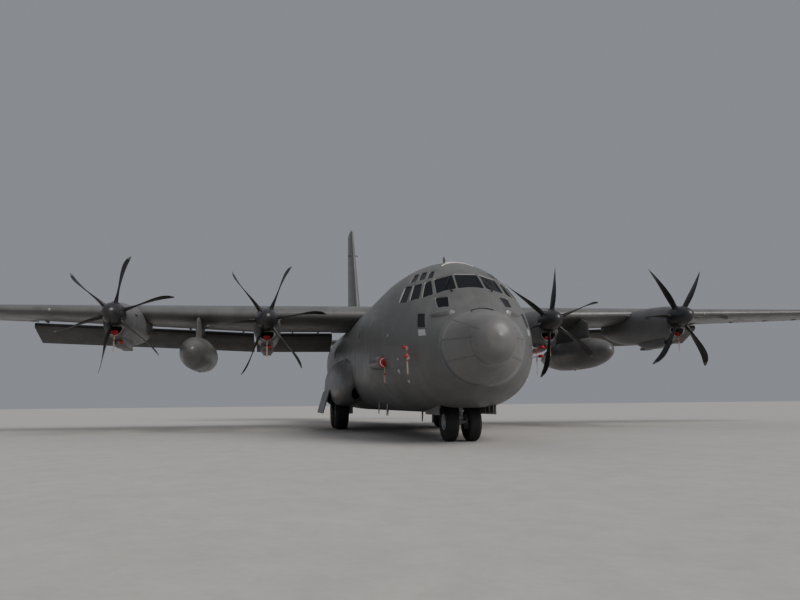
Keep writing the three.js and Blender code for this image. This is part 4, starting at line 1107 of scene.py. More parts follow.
# Behind the propeller, half width, top and bottom from the hub, and how far the lower half narrows
NACELLE = [
    (270, 400, 400, -780, 0.2),
    (700, 455, 480, -800, 0.2),
    (1500, 485, 550, -810, 0.22),
    (2950, 495, 620, -790, 0.22),
    (3900, 480, 600, -700, 0.2),
    (5000, 400, 410, -400, 0.1),
    (5400, 300, 290, -150, 0.0),
]
# Behind the propeller, half width, top and bottom of the oil cooler's duct under it
SCOOP = [
    (850, 190, -640, -960),
    (970, 215, -640, -1020),
    (1500, 230, -640, -1060),
    (2100, 222, -640, -1050),
    (2800, 120, -560, -850),
]
# Radius, chord, thickness, sweep of the chord's middle, angle to the plane of rotation
BLADE = [
    (300, 190, 160, 0, 70),
    (480, 240, 125, -10, 74),
    (650, 290, 88, -25, 78),
    (900, 330, 57, -40, 84),
    (1200, 340, 39, -45, 92),
    (1600, 310, 26, 0, 102),
    (1880, 230, 18, 110, 108),
    (2055, 80, 12, 230, 111),
]
# Distance to the left, hub's height, first blade's angle from upright
ENGINES = [(10150, 4059, 29.5), (5030, 3860, 8.5), (-5030, 3860, 22), (-10150, 4059, 10.7)]
SPINNER = [(0, -660), (60, -652), (120, -620), (190, -560), (250, -470), (300, -360), (338, -240),
           (364, -120), (378, 0), (380, 120), (380, 240), (372, 255), (0, 255)]


def hub_of(x, height):
    return (x, linear(WING, abs(x), 1) - 2750, height)


def nacelle_ring(hub, along, inset):
    half, top, bottom, taper = (smooth_at(NACELLE, along, c) for c in (1, 2, 3, 4))
    wide, rise, power = (top + bottom) / 2, (top - bottom) / 2 - inset, 2 / 2.4
    ring = []
    for a in angles(64):
        x = (half - inset) * signed(math.sin(a), power) * (1 - taper * max(0, -math.cos(a)) ** 1.5)
        z = wide + rise * signed(math.cos(a), power)
        ring.append(at(hub[0] + x, hub[1] + along, hub[2] + z))
    return ring


def intake_outline(grow):
    """The U of the chin intake from the hub: flat above, round below."""
    points = []
    for a in angles(40):
        c = math.cos(a)
        points.append(((252 + grow) * signed(math.sin(a), 0.75) * (1 - 0.25 * max(0, -c)),
                       -460 + (68 + grow * 0.4 if c > 0 else 240 + grow) * signed(c, 0.8)))
    return points


def soft_box(half, top, bottom, power, count):
    """An outline (x, z) between a box and an ellipse."""
    middle, rise = (top + bottom) / 2, (top - bottom) / 2
    return [(half * signed(math.sin(a), power), middle + rise * signed(math.cos(a), power))
            for a in angles(count)]


def make_nacelle(number, hub):
    def place(x, along, z):
        return (hub[0] + x, hub[1] + along, hub[2] + z)

    def box(x0, x1, s0, s1, z0, z1, soft):
        return block(place(x0, s0, z0), place(x1, s1, z1), soft)

    def run(outlines):
        """Rings through (outline, distance behind the hub)."""
        return [[at(*place(x, along, z)) for x, z in outline] for outline, along in outlines]

    def duct(rows):
        return run((intake_outline(grow), along) for grow, along in rows)

    rings = []
    for along in [270, 285, 310, 350, 420, 520, 640, 800, *range(1000, 5301, 200), 5400]:
        rings.append(nacelle_ring(hub, along, 16 * max(0.0, (350 - along) / 80) ** 2))
    shell = mesh_object(f"nacelle_{number}_skin", *loft(rings), cowl_paint)
    boolean(shell, [tool(duct(((0, 180), (0, 420), (-10, 700), (-30, 1000))))])
    round_off(shell)
    ridden(shell, f"nacelle_{number}")

    # The intake's lip, its duct, and the cover in it
    outlines = [(intake_outline(13 + 13 * math.sin(a)), 268 - 22 * math.cos(a)) for a in angles(12)]
    lip = [[at(*place(outline[k][0], along, outline[k][1])) for outline, along in outlines]
           for k in range(40)]
    fit(f"intake_lip_{number}", [loft(lip, loop=True)], frame_paint)
    walls = duct(((-1, 300), (-4, 420), (-14, 700), (-34, 1000), (-34, 960), (-24, 700), (-14, 420),
                  (-9, 300)))
    fit(f"intake_duct_{number}", [loft(walls, loop=True)], inside_paint)
    vanes = [box(-190, 190, 940, 980, -700, -380, 4)]
    vanes += [box(x - 6, x + 6, 860, 945, -690, -400, 3) for x in range(-150, 151, 75)]
    fit(f"intake_screen_{number}", vanes, black_paint)
    plug = run((soft_box(half, high, low, 0.7, 28), along) for half, low, high, along in (
        (96, -668, -560, 300), (122, -684, -536, 306), (128, -688, -530, 330),
        (128, -688, -530, 440), (100, -670, -550, 450)))
    grip = tube([place(*p) for p in ((-46, 304, -600), (-40, 262, -596), (40, 262, -596),
                                     (46, 304, -600))], 9, 8)
    fit(f"intake_cover_{number}", [loft(plug), grip], red_cover)
    streamer(f"intake_streamer_{number}", [place(*p) for p in (
        (8, 258, -608), (9, 236, -660), (10, 222, -760), (12, 216, -1060), (9, 214, -1270))], 44)

    # Oil cooler's duct
    rows = []
    for along in (850, 862, 890, 970, 1100, 1300, 1500, 1800, 2100, 2300, 2500, 2650, 2800):
        half, top, bottom = (smooth_at(SCOOP, along, c) for c in (1, 2, 3))
        rows.append((soft_box(half, top, bottom, 0.5, 24), along))
    scoop = mesh_object(f"scoop_{number}", *loft(run(rows)), cowl_paint)
    mouth = ((800, 162, -935), (900, 178, -968), (1450, 180, -1000))
    boolean(scoop, [tool(run((soft_box(half, -812, bottom, 0.5, 24), along)
                             for along, half, bottom in mouth))])
    round_off(scoop)
    ridden(scoop)
    core = [box(-176, 176, 1130, 1190, -990, -815, 4)]
    core += [box(-174, 174, 1115, 1132, z, z + 9, 2) for z in range(-985, -834, 25)]
    fit(f"oil_cooler_{number}", core, steel)
    fit(f"cooler_cover_{number}", [box(40, 150, 868, 930, -944, -842, 16)], red_cover)
    fit(f"cooler_flap_{number}", [box(-150, 150, 2180, 2560, -1062, -1040, 6),
                                  box(-150, -138, 2176, 2560, -1040, -960, 4),
                                  box(138, 150, 2176, 2560, -1040, -960, 4)], cowl_paint)

    # Exhaust
    pipe = [(0, -140), (146, -135), (147, -8), (156, 0), (166, -8), (168, -30), (168, -400),
            (160, -404), (0, -404)]
    parts = [turned(pipe, at(*place(0, 5545, 80)), "y", 40)]
    for x, z in ((math.cos(a), math.sin(a)) for a in angles(12)):
        spot = at(*place(166 * x, 5480, 80 + 166 * z))
        parts.append(turned([(0, 0), (7, 0), (6, 7), (0, 8)], spot, (x, 0, z), 8))
    fit(f"exhaust_{number}", parts, exhaust_metal)

    # Latches, an access door and a vent on each side of the cowling
    trim = []
    for side in (-1, 1):
        for along in (900, 1400, 1900, 2400):
            half = smooth_at(NACELLE, along, 1)
            trim.append(box(side * (half - 8), side * (half + 5), along - 34, along + 34,
                            -262, -236, 3))
        half = smooth_at(NACELLE, 3300, 1)
        trim.append(box(side * (half - 12), side * (half + 4), 3160, 3480, -60, 160, 3))
        vent = side * (smooth_at(NACELLE, 1250, 1) - 20)
        trim.append(tube([place(vent + side * out, 1250 + back, 150)
                          for back, out in ((0, 0), (90, 34), (200, 40), (260, 10))], 30, 14))
    fit(f"cowl_latches_{number}", trim, tail_paint)


def blade(hub, degrees):
    turn = math.radians(degrees)
    out = Vector((math.sin(turn), 0, math.cos(turn)))
    tangent = Vector((math.cos(turn), 0, -math.sin(turn)))
    forward = Vector((0, -1, 0))
    centre = at(*hub)
    outline = []
    for c, t in ((0.5 * math.cos(a), 0.5 * math.sin(a)) for a in angles(20)):
        outline.append((c, t * (1 if c > 0 else 1 - 0.55 * (abs(c) * 2) ** 1.5)))
    rings = []
    for radius in (300, 340, 390, 440, 480, 540, 600, *range(680, 1881, 75),
                   1930, 1975, 2010, 2035, 2050, 2055):
        chord, thick, sweep, pitch = (smooth_at(BLADE, radius, c) for c in (1, 2, 3, 4))
        if radius > 2010:
            chord *= max(0.25, math.sqrt(max(0.0, 1 - ((radius - 2010) / 46) ** 2)))
        a = math.radians(pitch)
        chordway = tangent * math.cos(a) + forward * math.sin(a)
        across = chordway.cross(out)
        rings.append([centre + (out * radius + chordway * (c * chord - sweep)
                                + across * (t * thick)) * S for c, t in outline])
    verts, faces = loft(rings)
    alongs = [sum((verts[i] - centre).dot(out) for i in f) / len(f) / S for f in faces]
    return verts, faces, [int(1950 < along < 2040) for along in alongs]


def make_propeller(number, hub, phase):
    centre = at(*hub)
    turns = [phase + 60 * k for k in range(6)]
    parts = [blade(hub, degrees) for degrees in turns]
    parts += marked(2, turned(SPINNER, centre, "y", 72))
    cuff = [(0, 300), (128, 300), (128, 372), (120, 381), (96, 384), (0, 384)]
    for turn in (math.radians(degrees) for degrees in turns):
        parts += marked(0, turned(cuff, centre, (math.sin(turn), 0, math.cos(turn)), 28))
    for x, z in ((math.cos(a), math.sin(a)) for a in angles(24)):
        spot = at(hub[0] + 377 * x, hub[1] + 205, hub[2] + 377 * z)
        parts += marked(3, turned([(0, 0), (7, 0), (7, 6), (0, 7)], spot, (x, 0, z), 8))
    name = f"propeller_{number}"
    made = merged(name + "_skin", parts, [blade_paint, tip_paint, spinner_paint, steel], 40)
    ridden(made, name, name)


def make_engines():
    for number, (x, height, phase) in enumerate(ENGINES, 1):
        make_nacelle(number, hub_of(x, height))
        make_propeller(number, hub_of(x, height), phase)


# Fuel tanks

TANK_X, TANK_NOSE, TANK_LENGTH, TANK_RADIUS, TANK_HEIGHT = 7650, 9650, 6500, 620, 2890
# Height, front and back of the pylon
PYLON = [(3140, 11230, 14600), (4120, 11300, 14100), (4330, 11900, 13900)]


def tank_radius(along):
    t = along / TANK_LENGTH
    front, back = min(1, t / 0.36), min(1, (1 - t) / 0.5)
    return TANK_RADIUS * math.sqrt(1 - (1 - front) ** 2) * (1 - (1 - back) ** 2.2)


def make_tanks():
    stops = [TANK_LENGTH * (k / 60) ** 1.6 for k in range(46)]
    stops += [stops[-1] + (TANK_LENGTH - stops[-1]) * k / 24 for k in range(1, 25)]
    for name, side in SIDES:
        x = side * TANK_X

        def place(dx, along, z):
            return at(x + dx, TANK_NOSE + along, TANK_HEIGHT + z)

        parts = [turned([(tank_radius(a), a) for a in stops], place(0, 0, 0), "y", 72)]
        for along in (1500, 2700, 4200, 5300):
            radius = tank_radius(along)
            rings = [circle(place(0, along + back, 0), Vector((1, 0, 0)), Vector((0, 0, 1)),
                            radius + r, 72) for r, back in ((-6, -16), (3, -14), (3, 14), (-6, 16))]
            parts.append(loft(rings, caps=False))
        parts.append(turned([(0, 0), (60, 0), (60, 7), (54, 11), (0, 12)],
                            place(side * 350, 2500, 505), (side * 0.57, 0, 0.82), 24))
        parts.append(rod(*((x, TANK_NOSE + 3000, TANK_HEIGHT - below) for below in (612, 646)), 34))
        fit(f"tank_{name}_skin", parts, tank_paint, "fuel_tank_" + name)
        pylon = mesh_object(f"pylon_{name}", *loft(
            [[at(x + 80 * math.sin(a) * (1.12 + 0.25 * math.cos(a)),
                 front + (back - front) * (0.5 - 0.5 * math.cos(a)), z) for a in angles(40)]
             for z, front, back in PYLON]), tank_paint)
        boolean(pylon, [tool([[wing_place(side, span, u, off) for u, off in wing_outline(span)]
                              for span in (6500, 9000)])])
        round_off(pylon, 35)
        ridden(pylon)


# Main wheels' fairings and wheels

# Station, half width, top, bottom
SPONSON = [
    (8750, 120, 2000, 1600),
    (9000, 300, 2300, 1300),
    (9600, 460, 2520, 1050),
    (10600, 560, 2620, 930),
    (12000, 590, 2640, 880),
    (14200, 590, 2640, 880),
    (15200, 520, 2550, 960),
    (16000, 330, 2300, 1250),
    (16300, 120, 2000, 1600),
]
# Distance of a fairing and of the inlet in its nose from the centre line; the inlet's height
SPONSON_X, INLET_X, INLET_HEIGHT = 2060, 1990, 1330
# Wheels: centre's x, radius, width, rim's radius, bore's radius, count of inner bolts
MAIN_WHEEL, NOSE_WHEEL = (2175, 710, 510, 255, 62, 9), (290, 495, 330, 190, 44, 8)
WHEEL_STATIONS, NOSE_STATION = (("front", 12310), ("rear", 13830)), 3300


def sponson_ring(side, s):
    half, top, bottom = (smooth_at(SPONSON, s, c) for c in (1, 2, 3))
    return [at(side * (SPONSON_X + x * (1 - 0.2 * math.cos(a))), s, z)
            for a, (x, z) in zip(angles(56), soft_box(half, top, bottom, 2 / 2.6, 56))]


def inlet_rings(side, rows):
    """Ovals in the nose of a fairing: rows of (station, half width)."""
    return [[at(side * (INLET_X + r * math.cos(a)), s, INLET_HEIGHT + 1.5 * r * math.sin(a))
             for a in angles(28)] for s, r in rows]


def make_sponsons():
    stations = (8750, 8770, 8810, 8870, 8950, 9060, 9200, 9400, 9650, 9950, 10300, 10700, 11200,
                11800, 12600, 13400, 14200, 14600, 15000, 15300, 15600, 15850, 16050, 16180, 16250,
                16300)
    for name, side in SIDES:
        data = loft([sponson_ring(side, s) for s in stations])
        made = mesh_object(f"sponson_{name}_skin", *data, tank_paint)
        boolean(made, [body_solid("tool", 8000, 17000),
                       box_tool((side * 1700, 11450, -100), (side * 3200, 14690, 1470)),
                       tool(inlet_rings(side, ((8600, 150), (9350, 140), (9900, 110))))])
        follow(made, [Surface(*data)])
        ridden(made, "sponson_" + name)


def wheel_profile(radius, width, rim):
    """Half of a tyre's profile as (radius, along): a grooved tread and rounded shoulders."""
    half = width / 2
    points = [(rim, half * 0.8)] + [(radius * r, half * a) for r, a in (
        (0.43, 0.86), (0.5, 0.92), (0.6, 0.98), (0.7, 1.0), (0.8, 0.985), (0.88, 0.92),
        (0.935, 0.83), (0.975, 0.7), (0.992, 0.56))]
    for groove in (0.4, 0.14):
        crown = 1 - 0.008 * (groove / 0.56) ** 2
        for w, depth in ((0.035, 0), (0.025, 0.018), (-0.025, 0.018), (-0.035, 0)):
            points.append((radius * (crown - depth), half * (groove + w)))
    return points


def make_wheel(name, side, station, size, body, stands_for=None):
    x, radius, width, rim, bore, spokes = size
    place, half = at(side * x, station, radius), width / 2
    tyre = wheel_profile(radius, width, rim)
    hub = [(bore, half * 0.78)] + [(rim * r, half * a) for r, a in (
        (0.42, 0.78), (0.5, 0.6), (0.6, 0.42), (0.82, 0.36), (0.9, 0.44), (0.95, 0.8), (1.06, 0.88),
        (1.08, 0.84), (1.01, 0.7))]
    parts = []
    for index, side_profile, middle, steps in ((0, tyre, [], 64), (1, hub, [(rim, 0)], 48)):
        whole = side_profile + middle + [(r, -a) for r, a in side_profile[::-1]]
        parts += marked(index, turned(whole, place, "x", steps, True))
    for face in (1, -1):
        for count, ring, thick, depth in ((spokes * 2, 0.74, 0.035, 0.352),
                                          (spokes, 0.46, 0.03, 0.7)):
            bolt = [(0, 0), (rim * thick, 0), (rim * thick, 14), (rim * thick * 0.6, 19), (0, 19)]
            for k in range(count):
                a = 2 * math.pi * (k + 0.5) / count
                spot = place + Vector((face * half * depth, rim * ring * math.cos(a),
                                       rim * ring * math.sin(a))) * S
                parts += marked(2, turned(bolt, spot, (face, 0, 0), 6))
    made = merged(name, parts, [tyre_rubber, gear_paint, steel], 30)
    ridden(made, stands_for, body)


def make_wheels():
    for name, side in SIDES:
        for where, station in WHEEL_STATIONS:
            body = f"main_wheel_{name}_{where}"
            make_wheel(body + "_tyre", side, station, MAIN_WHEEL, body, body)
    make_wheel("nose_tyre_left", 1, NOSE_STATION, NOSE_WHEEL, "nose_wheels", "nose_wheels")
    make_wheel("nose_tyre_right", -1, NOSE_STATION, NOSE_WHEEL, "nose_wheels")


# Windows and what stands on the skin


def stand(side, s, z, out=0.0):
    """A point of the skin, moved outwards, and the skin's outward direction there."""
    p = on_side(side, s, z)
    n = OUTER.normal(p)
    n = -n if n.x * side < 0 else n
    return p + n * out * S, n


def make_windows():
    panes, frames = [], []

    def ring(outline, inset, grow):
        return [body_point(s, d, inset) for s, d in grown(outline, grow)]

    for outline in all_windows():
        panes.append(loft([ring(outline, inset, 3) for inset in (26, 40)]))
        frames.append(loft([ring(outline, inset, grow) for inset, grow in (
            (24, -1), (-1, -1), (-3, 2), (-2, 9), (3, 12), (20, 8))], loop=True))
    for side in (-1, 1):
        for s in ROUND_WINDOWS:
            spot, out = stand(side, s, 3085)
            panes.append(turned([(0, -58), (160, -58), (160, -44), (0, -44)], spot, out, 32))
            frames.append(turned([(150, -50), (146, 4), (152, 7), (184, 6), (190, -6), (160, -50)],
                                 spot, out, 32, True))
    fit("window_panes", panes, window_glass, "cockpit_glazing")
    fit("window_frames", frames, post_paint)
    wipers = []
    for side in (-1, 1):
        arm = [body_point(s, side * d, inset) for s, d, inset in (
            (1880, 20, -14), (2100, 22, -26), (2330, 15, -14))]
        pivot = [(0, -20), (26, -20), (26, 10), (18, 22), (0, 22)]
        wipers += [tube(arm, 9, 8), turned(pivot, arm[0], OUTER.normal(arm[0]), 16)]
    fit("wipers", wipers, black_paint)


def plate(side, corners, out=4, thick=12, cells=6):
    """A thin plate that follows the skin between four corners (station, height)."""
    a, b, c, d = (np.array(q, float) for q in corners)
    outer, inner = [], []
    for i in range(cells + 1):
        for j in range(cells + 1):
            u, v = i / cells, j / cells
            s, z = (a * (1 - u) + b * u) * (1 - v) + (d * (1 - u) + c * u) * v
            p, n = stand(side, s, z)
            outer.append(p + n * out * S)
            inner.append(p + n * (out - thick) * S)
    w, base = cells + 1, (cells + 1) ** 2
    faces = []
    for i in range(cells):
        for j in range(cells):
            k = i * w + j
            faces += [(k, k + w, k + w + 1, k + 1),
                      (base + k + 1, base + k + w + 1, base + k + w, base + k)]
    edge = [(i * w, (i + 1) * w) for i in range(cells)]
    edge += [(cells * w + j, cells * w + j + 1) for j in range(cells)]
    edge += [((i + 1) * w + cells, i * w + cells) for i in range(cells)]
    edge += [(j + 1, j) for j in range(cells)]
    faces += [(b, a, base + a, base + b) for a, b in edge]
    return outward(outer + inner, faces)


def plate_frame(side, corners):
    """A narrow frame round a plate on the skin."""
    middle = np.mean(np.array(corners, float), axis=0)
    rings = []
    for grow, out in ((0, 3), (2, 7), (9, 7), (12, -2), (6, -8)):
        ring = []
        moved = [middle + (np.array(c, float) - middle) * (1 + grow / 150) for c in corners]
        for i in range(4):
            for k in range(6):
                s, z = moved[i] + (moved[(i + 1) % 4] - moved[i]) * k / 6
                ring.append(stand(side, s, z, out)[0])
        rings.append(ring)
    return loft(rings, loop=True)


def bulge(side, z, rows, steps=24):
    """A fairing along the skin: rows of (station, half height outwards, half height upwards)."""
    rings = []
    for s, out, up in rows:
        p, n = stand(side, s, z)
        along = n.cross(Vector((0, 1, 0))).normalized()
        n = Vector((n.x, 0, n.z)).normalized()
        rings.append(circle(p, n * out, along * up, 1, steps))
    return loft(rings)


def blade_antenna(foot, tip, chord):
    """An upright fin from its foot to its tip, both (x, s, z)."""
    rings = []
    for t, c in ((0, 1.15), (0.06, 1.0), (0.6, 0.82), (0.92, 0.6), (1, 0.4)):
        x, s, z = (foot[i] + (tip[i] - foot[i]) * t for i in range(3))
        half = 16 * (1 - 0.4 * t)
        rings.append([at(x + half * math.sin(a) * (1 + 0.4 * math.cos(a)),
                         s - c * chord / 2 * math.cos(a), z) for a in angles(20)])
    return loft(rings)


# Corners (station, height) of the dark panel on each cheek and of the blank placard under it
PANEL = ((1644, 2749), (1860, 2758), (2037, 3115), (1833, 3087))
PLACARD = ((1560, 2545), (1770, 2550), (1838, 2706), (1635, 2690))
# Station, height and radius of the ports; first and last station, low and high of the hatches
PORTS = ((2600, 2060, 34), (2680, 1760, 60), (3120, 2700, 45), (2450, 1500, 48), (4880, 1500, 50))
HATCHES = ((2330, 2600, 1180, 1420), (4720, 5060, 2000, 2360), (3250, 3600, 1180, 1440))
# The cooling inlet in the right cheek
COOLER_STATION, COOLER_HEIGHT = 3392, 2030


def make_pitots(side, name, metal):
    """Two pitot tubes with their covers on, and the covers' streamer."""
    cover = [(0, -210), (25, -205), (32, -190), (34, -40), (38, -36), (38, 0), (30, 6), (0, 6)]
    for z, s in ((2290, 2160), (2070, 2120)):
        p, n = stand(side, s, z)
        x = across_of(p)
        metal.append(tube([(x + side * out, s - ahead, z + rise) for out, ahead, rise in (
            (-12, 0, 0), (50, 10, 0), (104, 50, 0), (120, 110, 4), (120, 330, 6))], 17, 12))
        metal.append(turned([(0, -6), (52, -6), (50, 6), (30, 16), (0, 18)], p, n, 20))
        fit(f"pitot_cover_{z}_{name}",
            [turned(cover, at(x + side * 120, s - 150, z + 5), "y", 20)], red_cover)
    streamer("pitot_streamer_" + name, [(side * x, s, z) for x, s, z in (
        (1590, 1990, 2262), (1600, 1992, 2180), (1606, 1996, 1960), (1604, 2000, 1650))], 40)


def make_nose_details():
    dark, pale, body_coloured, lamps, metal = [], [], [], [], []
    # A black rod along the top of the radome's rear edge: a real seam, but its dark is painted
    # shade standing for the shadow in the gap
    dark.append(tube([body_point(1150 - 0.3 * d * d, d, -6) for d in np.linspace(-19, 15, 21)], 17))
    # The conductor strips on the nose dome
    for side in (-1, 1):
        for s0, z0, s1, z1 in ((1140, 2860, 190, 2545), (1140, 2400, 400, 2400),
                               (1140, 1900, 420, 2010)):
            path = [(s0 + (s1 - s0) * k / 16, z0 + (z1 - z0) * k / 16) for k in range(17)]
            body_coloured.append(tube([on_side(side, s, z, 1) for s, z in path], 7, 6))
    for name, side in SIDES[::-1]:
        body_coloured.append(bulge(side, 3035, [
            (1306, 30, 40), (1314, 68, 84), (1340, 80, 98), (1420, 82, 100), (1520, 72, 84),
            (1620, 42, 50), (1690, 5, 8)]))
        p, n = stand(side, 1310, 3035, 6)
        lamps.append(turned([(0, -10), (62, -10), (70, 0), (62, 12), (34, 20), (0, 23)], p,
                            (side * 0.3, -1, 0.1), 28))
        dark.append(plate(side, PANEL))
        body_coloured.append(plate_frame(side, PANEL))
        pale.append(plate(side, PLACARD, 2))
        for s, z, radius in PORTS:
            p, n = stand(side, s, z, -3)
            metal.append(turned([(0, 0), (radius, 0), (radius, 6), (radius - 6, 9), (0, 9)],
                                p, n, 24))
        for s0, s1, z0, z1 in HATCHES:
            # On the left, the crew door takes the place of the others
            if side < 0 or s0 < 3000:
                body_coloured.append(plate(side, ((s0, z0), (s1, z0), (s1, z1), (s0, z1)), 3, 8))
        make_pitots(side, name, metal)
    # The pale strips over the windscreen, and the lights and aerials above and below
    strips = [tube([body_point(s - bend * d * d, d, -8) for d in np.linspace(start, end, 21)],
                   15, 8) for s, start, end, bend in ((3285, -13, 13, 1.33), (3480, -7, 9, 1.5))]
    strips.append(tube([body_point(s, d, -8) for s, d in (
        (3270, 1), (3330, 2), (3400, 2.5), (3470, 3))], 13, 8))
    fit("roof_strips", strips, white_paint)
    for s, height, chord in ((4300, 260, 300), (6400, 330, 360), (8400, 260, 300),
                             (19000, 300, 340)):
        top = body_row(s)[1]
        body_coloured.append(blade_antenna((0, s, top - 10), (0, s + 120, top + height), chord))
    for s in (5100, 10300):
        top = at(0, s, body_row(s)[1])
        metal.append(turned([(0, -20), (90, -20), (90, 6), (70, 16), (0, 16)], top, "z", 28))
        lamps.append(turned([(0, 10), (58, 10), (56, 60), (40, 92), (16, 104), (0, 106)],
                            top, "z", 24))
    for x, s in ((-1500, 5500), (-1560, 6600), (0, 6200), (0, 7600), (500, 17000)):
        z = on_belly(x, s)
        body_coloured.append(blade_antenna((x, s, z + 20), (x * 1.01, s + 90, z - 330), 250))
    # The right side's cooling inlet with its cover
    body_coloured.append(bulge(-1, COOLER_HEIGHT, [
        (COOLER_STATION, 150, 158), (3400, 166, 172), (3460, 174, 180), (3700, 166, 176),
        (4100, 140, 150), (4500, 84, 100), (4800, 8, 12)], 32))
    p, _ = stand(-1, COOLER_STATION, COOLER_HEIGHT, 4)
    x = across_of(p)
    cover = [(0, -34), (60, -34), (120, -28), (146, -16), (152, 0), (152, 24), (0, 24)]
    grip = [(x - 40, 3352, 2030), (x - 34, 3318, 2032), (x + 34, 3318, 2032), (x + 40, 3352, 2030)]
    fit("inlet_cover", marked(0, turned(cover, p, "y", 40))
        + marked(1, turned([(98, -33), (98, -40), (118, -38), (118, -30)], p, "y", 40, True))
        + marked(0, tube(grip, 8, 8)), [red_cover, white_paint])
    streamer("inlet_streamer", [(x, 3312, 2016), (x - 2, 3300, 1950), (x - 6, 3298, 1700),
                                (x - 8, 3302, 1500)], 52)
    # The cheeks' dark panels, with the radome seam's painted shade
    fit("nose_dark_panels_and_seam_shade", dark, black_paint)
    fit("nose_placards", pale, frame_paint)
    fit("skin_fairings", body_coloured, tank_paint)
    fit("skin_lamps", lamps, lamp_glass)
    fit("skin_ports", metal, steel)


# Undercarriage details


def link_arm(root, knee, wide=56, narrow=26, thick=26):
    """Half of a torque link: a plate that narrows from its root to its knee, all (x, s, z)."""
    a, b = at(*root), at(*knee)
    across = Vector((1, 0, 0))
    up = (b - a).normalized().cross(across).normalized()
    half_outline = ((-1, 0.4), (-0.85, 0.5), (0.85, 0.5), (1, 0.4))
    outline = [(x, -y) for x, y in half_outline] + list(half_outline[::-1])
    rows = ((0, wide * 0.8, 0.7), (0.04, wide, 1), (0.5, (wide + narrow) / 2 * 0.86, 0.8),
            (0.96, narrow, 1), (1, narrow * 0.8, 0.7))
    return loft([[a.lerp(b, t) + (across * half * x + up * thick * deep * y) * S
                  for x, y in outline] for t, half, deep in rows])


def make_nose_gear():
    s, height = NOSE_STATION, NOSE_WHEEL[1]
    foot, centre = at(0, s, 0), at(0, s, height)
    axle = [turned([(0, -412), (38, -412), (43, -406), (43, -120), (40, -112), (40, 112), (43, 120),
                    (43, 406), (38, 412), (0, 412)], centre, "x", 28)]
    axle += [turned([(0, 0), (62, 0), (62, 12), (48, 26), (0, 26)], at(side * 404, s, height),
                    (side, 0, 0), 6) for side in (-1, 1)]
    fit("nose_axle", axle, steel, None, "nose_wheels")
    strut = marked(1, turned([(0, 560), (69, 560), (69, 1600), (0, 1600)], foot, "z", 32))
    strut += marked(0, turned([(0, 550), (84, 556), (90, 570), (90, 610), (78, 626), (0, 626)],
                              foot, "z", 32))
    # The block that the axle runs through
    rings = []
    for x, r in ((-96, 62), (-90, 70), (-40, 74), (0, 78), (40, 74), (90, 70), (96, 62)):
        rings.append([at(x, s + r * math.cos(a),
                         height + r * max(1.3 * math.sin(a), math.sin(a))) for a in angles(28)])
    lug = mesh_object("lug", *loft(rings), gear_paint)
    bore = turned([(0, -140), (47, -140), (47, 140), (0, 140)], centre, "x", 28)
    boolean(lug, [mesh_object("tool", *bore, gear_paint)])
    strut += marked(0, ([tuple(v.co) for v in lug.data.vertices],
                        [tuple(f.vertices) for f in lug.data.polygons]))
    bpy.data.objects.remove(lug)
    collar = [(71, 930), (104, 934), (112, 944), (112, 1000), (104, 1010), (71, 1012)]
    strut += marked(0, turned(collar, foot, "z", 32, True),
                    link_arm((0, s - 72, 600), (0, s - 262, 782)),
                    link_arm((0, s - 92, 972), (0, s - 262, 790)))
    strut += marked(1, *[rod((-half, s - ahead, z), (half, s - ahead, z), 20)
                         for half, ahead, z in ((40, 264, 786), (66, 84, 600), (66, 104, 972))])
    strut += marked(2, *[tube([(side * x, s + behind, z) for x, behind, z in (
        (78, 30, 1000), (84, 42, 900), (80, 40, 760), (70, 30, 640), (60, 10, 560))], 7, 8)
        for side in (-1, 1)])
    fit("nose_strut", strut, [gear_paint, steel, black_paint], "nose_gear_fork", "nose_steering")
    fixed = []
    for side in (-1, 1):
        # The steering's cylinders
        fixed += marked(0, rod((side * 118, s - 60, 1110), (side * 118, s + 150, 1110), 34, 20))
        fixed += marked(1, rod((side * 118, s - 150, 1110), (side * 118, s - 60, 1110), 16, 14))
        fixed += marked(0, block((side * 60, s + 120, 1080), (side * 150, s + 168, 1140), 8))
        # Ribs and hinges of the doors
        for rib in (2680, 3020, 3360, 3700, 3930):
            fixed += marked(2, block((side * 706, rib - 12, 700), (side * 692, rib + 12, 940), 3))
            fixed += marked(0, block((side * 706, rib - 34, 925), (side * 676, rib + 34, 962), 6))
        fixed += marked(2, block((side * 706, 2630, 690), (side * 694, 3970, 712), 3))
    hoop = ((104, -18), (118, -16), (120, -10), (120, 10), (118, 16), (104, 18))
    for z in (1060, 1140):
        fixed += marked(0, turned([(r, z + a) for r, a in hoop], foot, "z", 32, True))
    fit("nose_gear_fittings", fixed, [gear_paint, steel, white_paint])


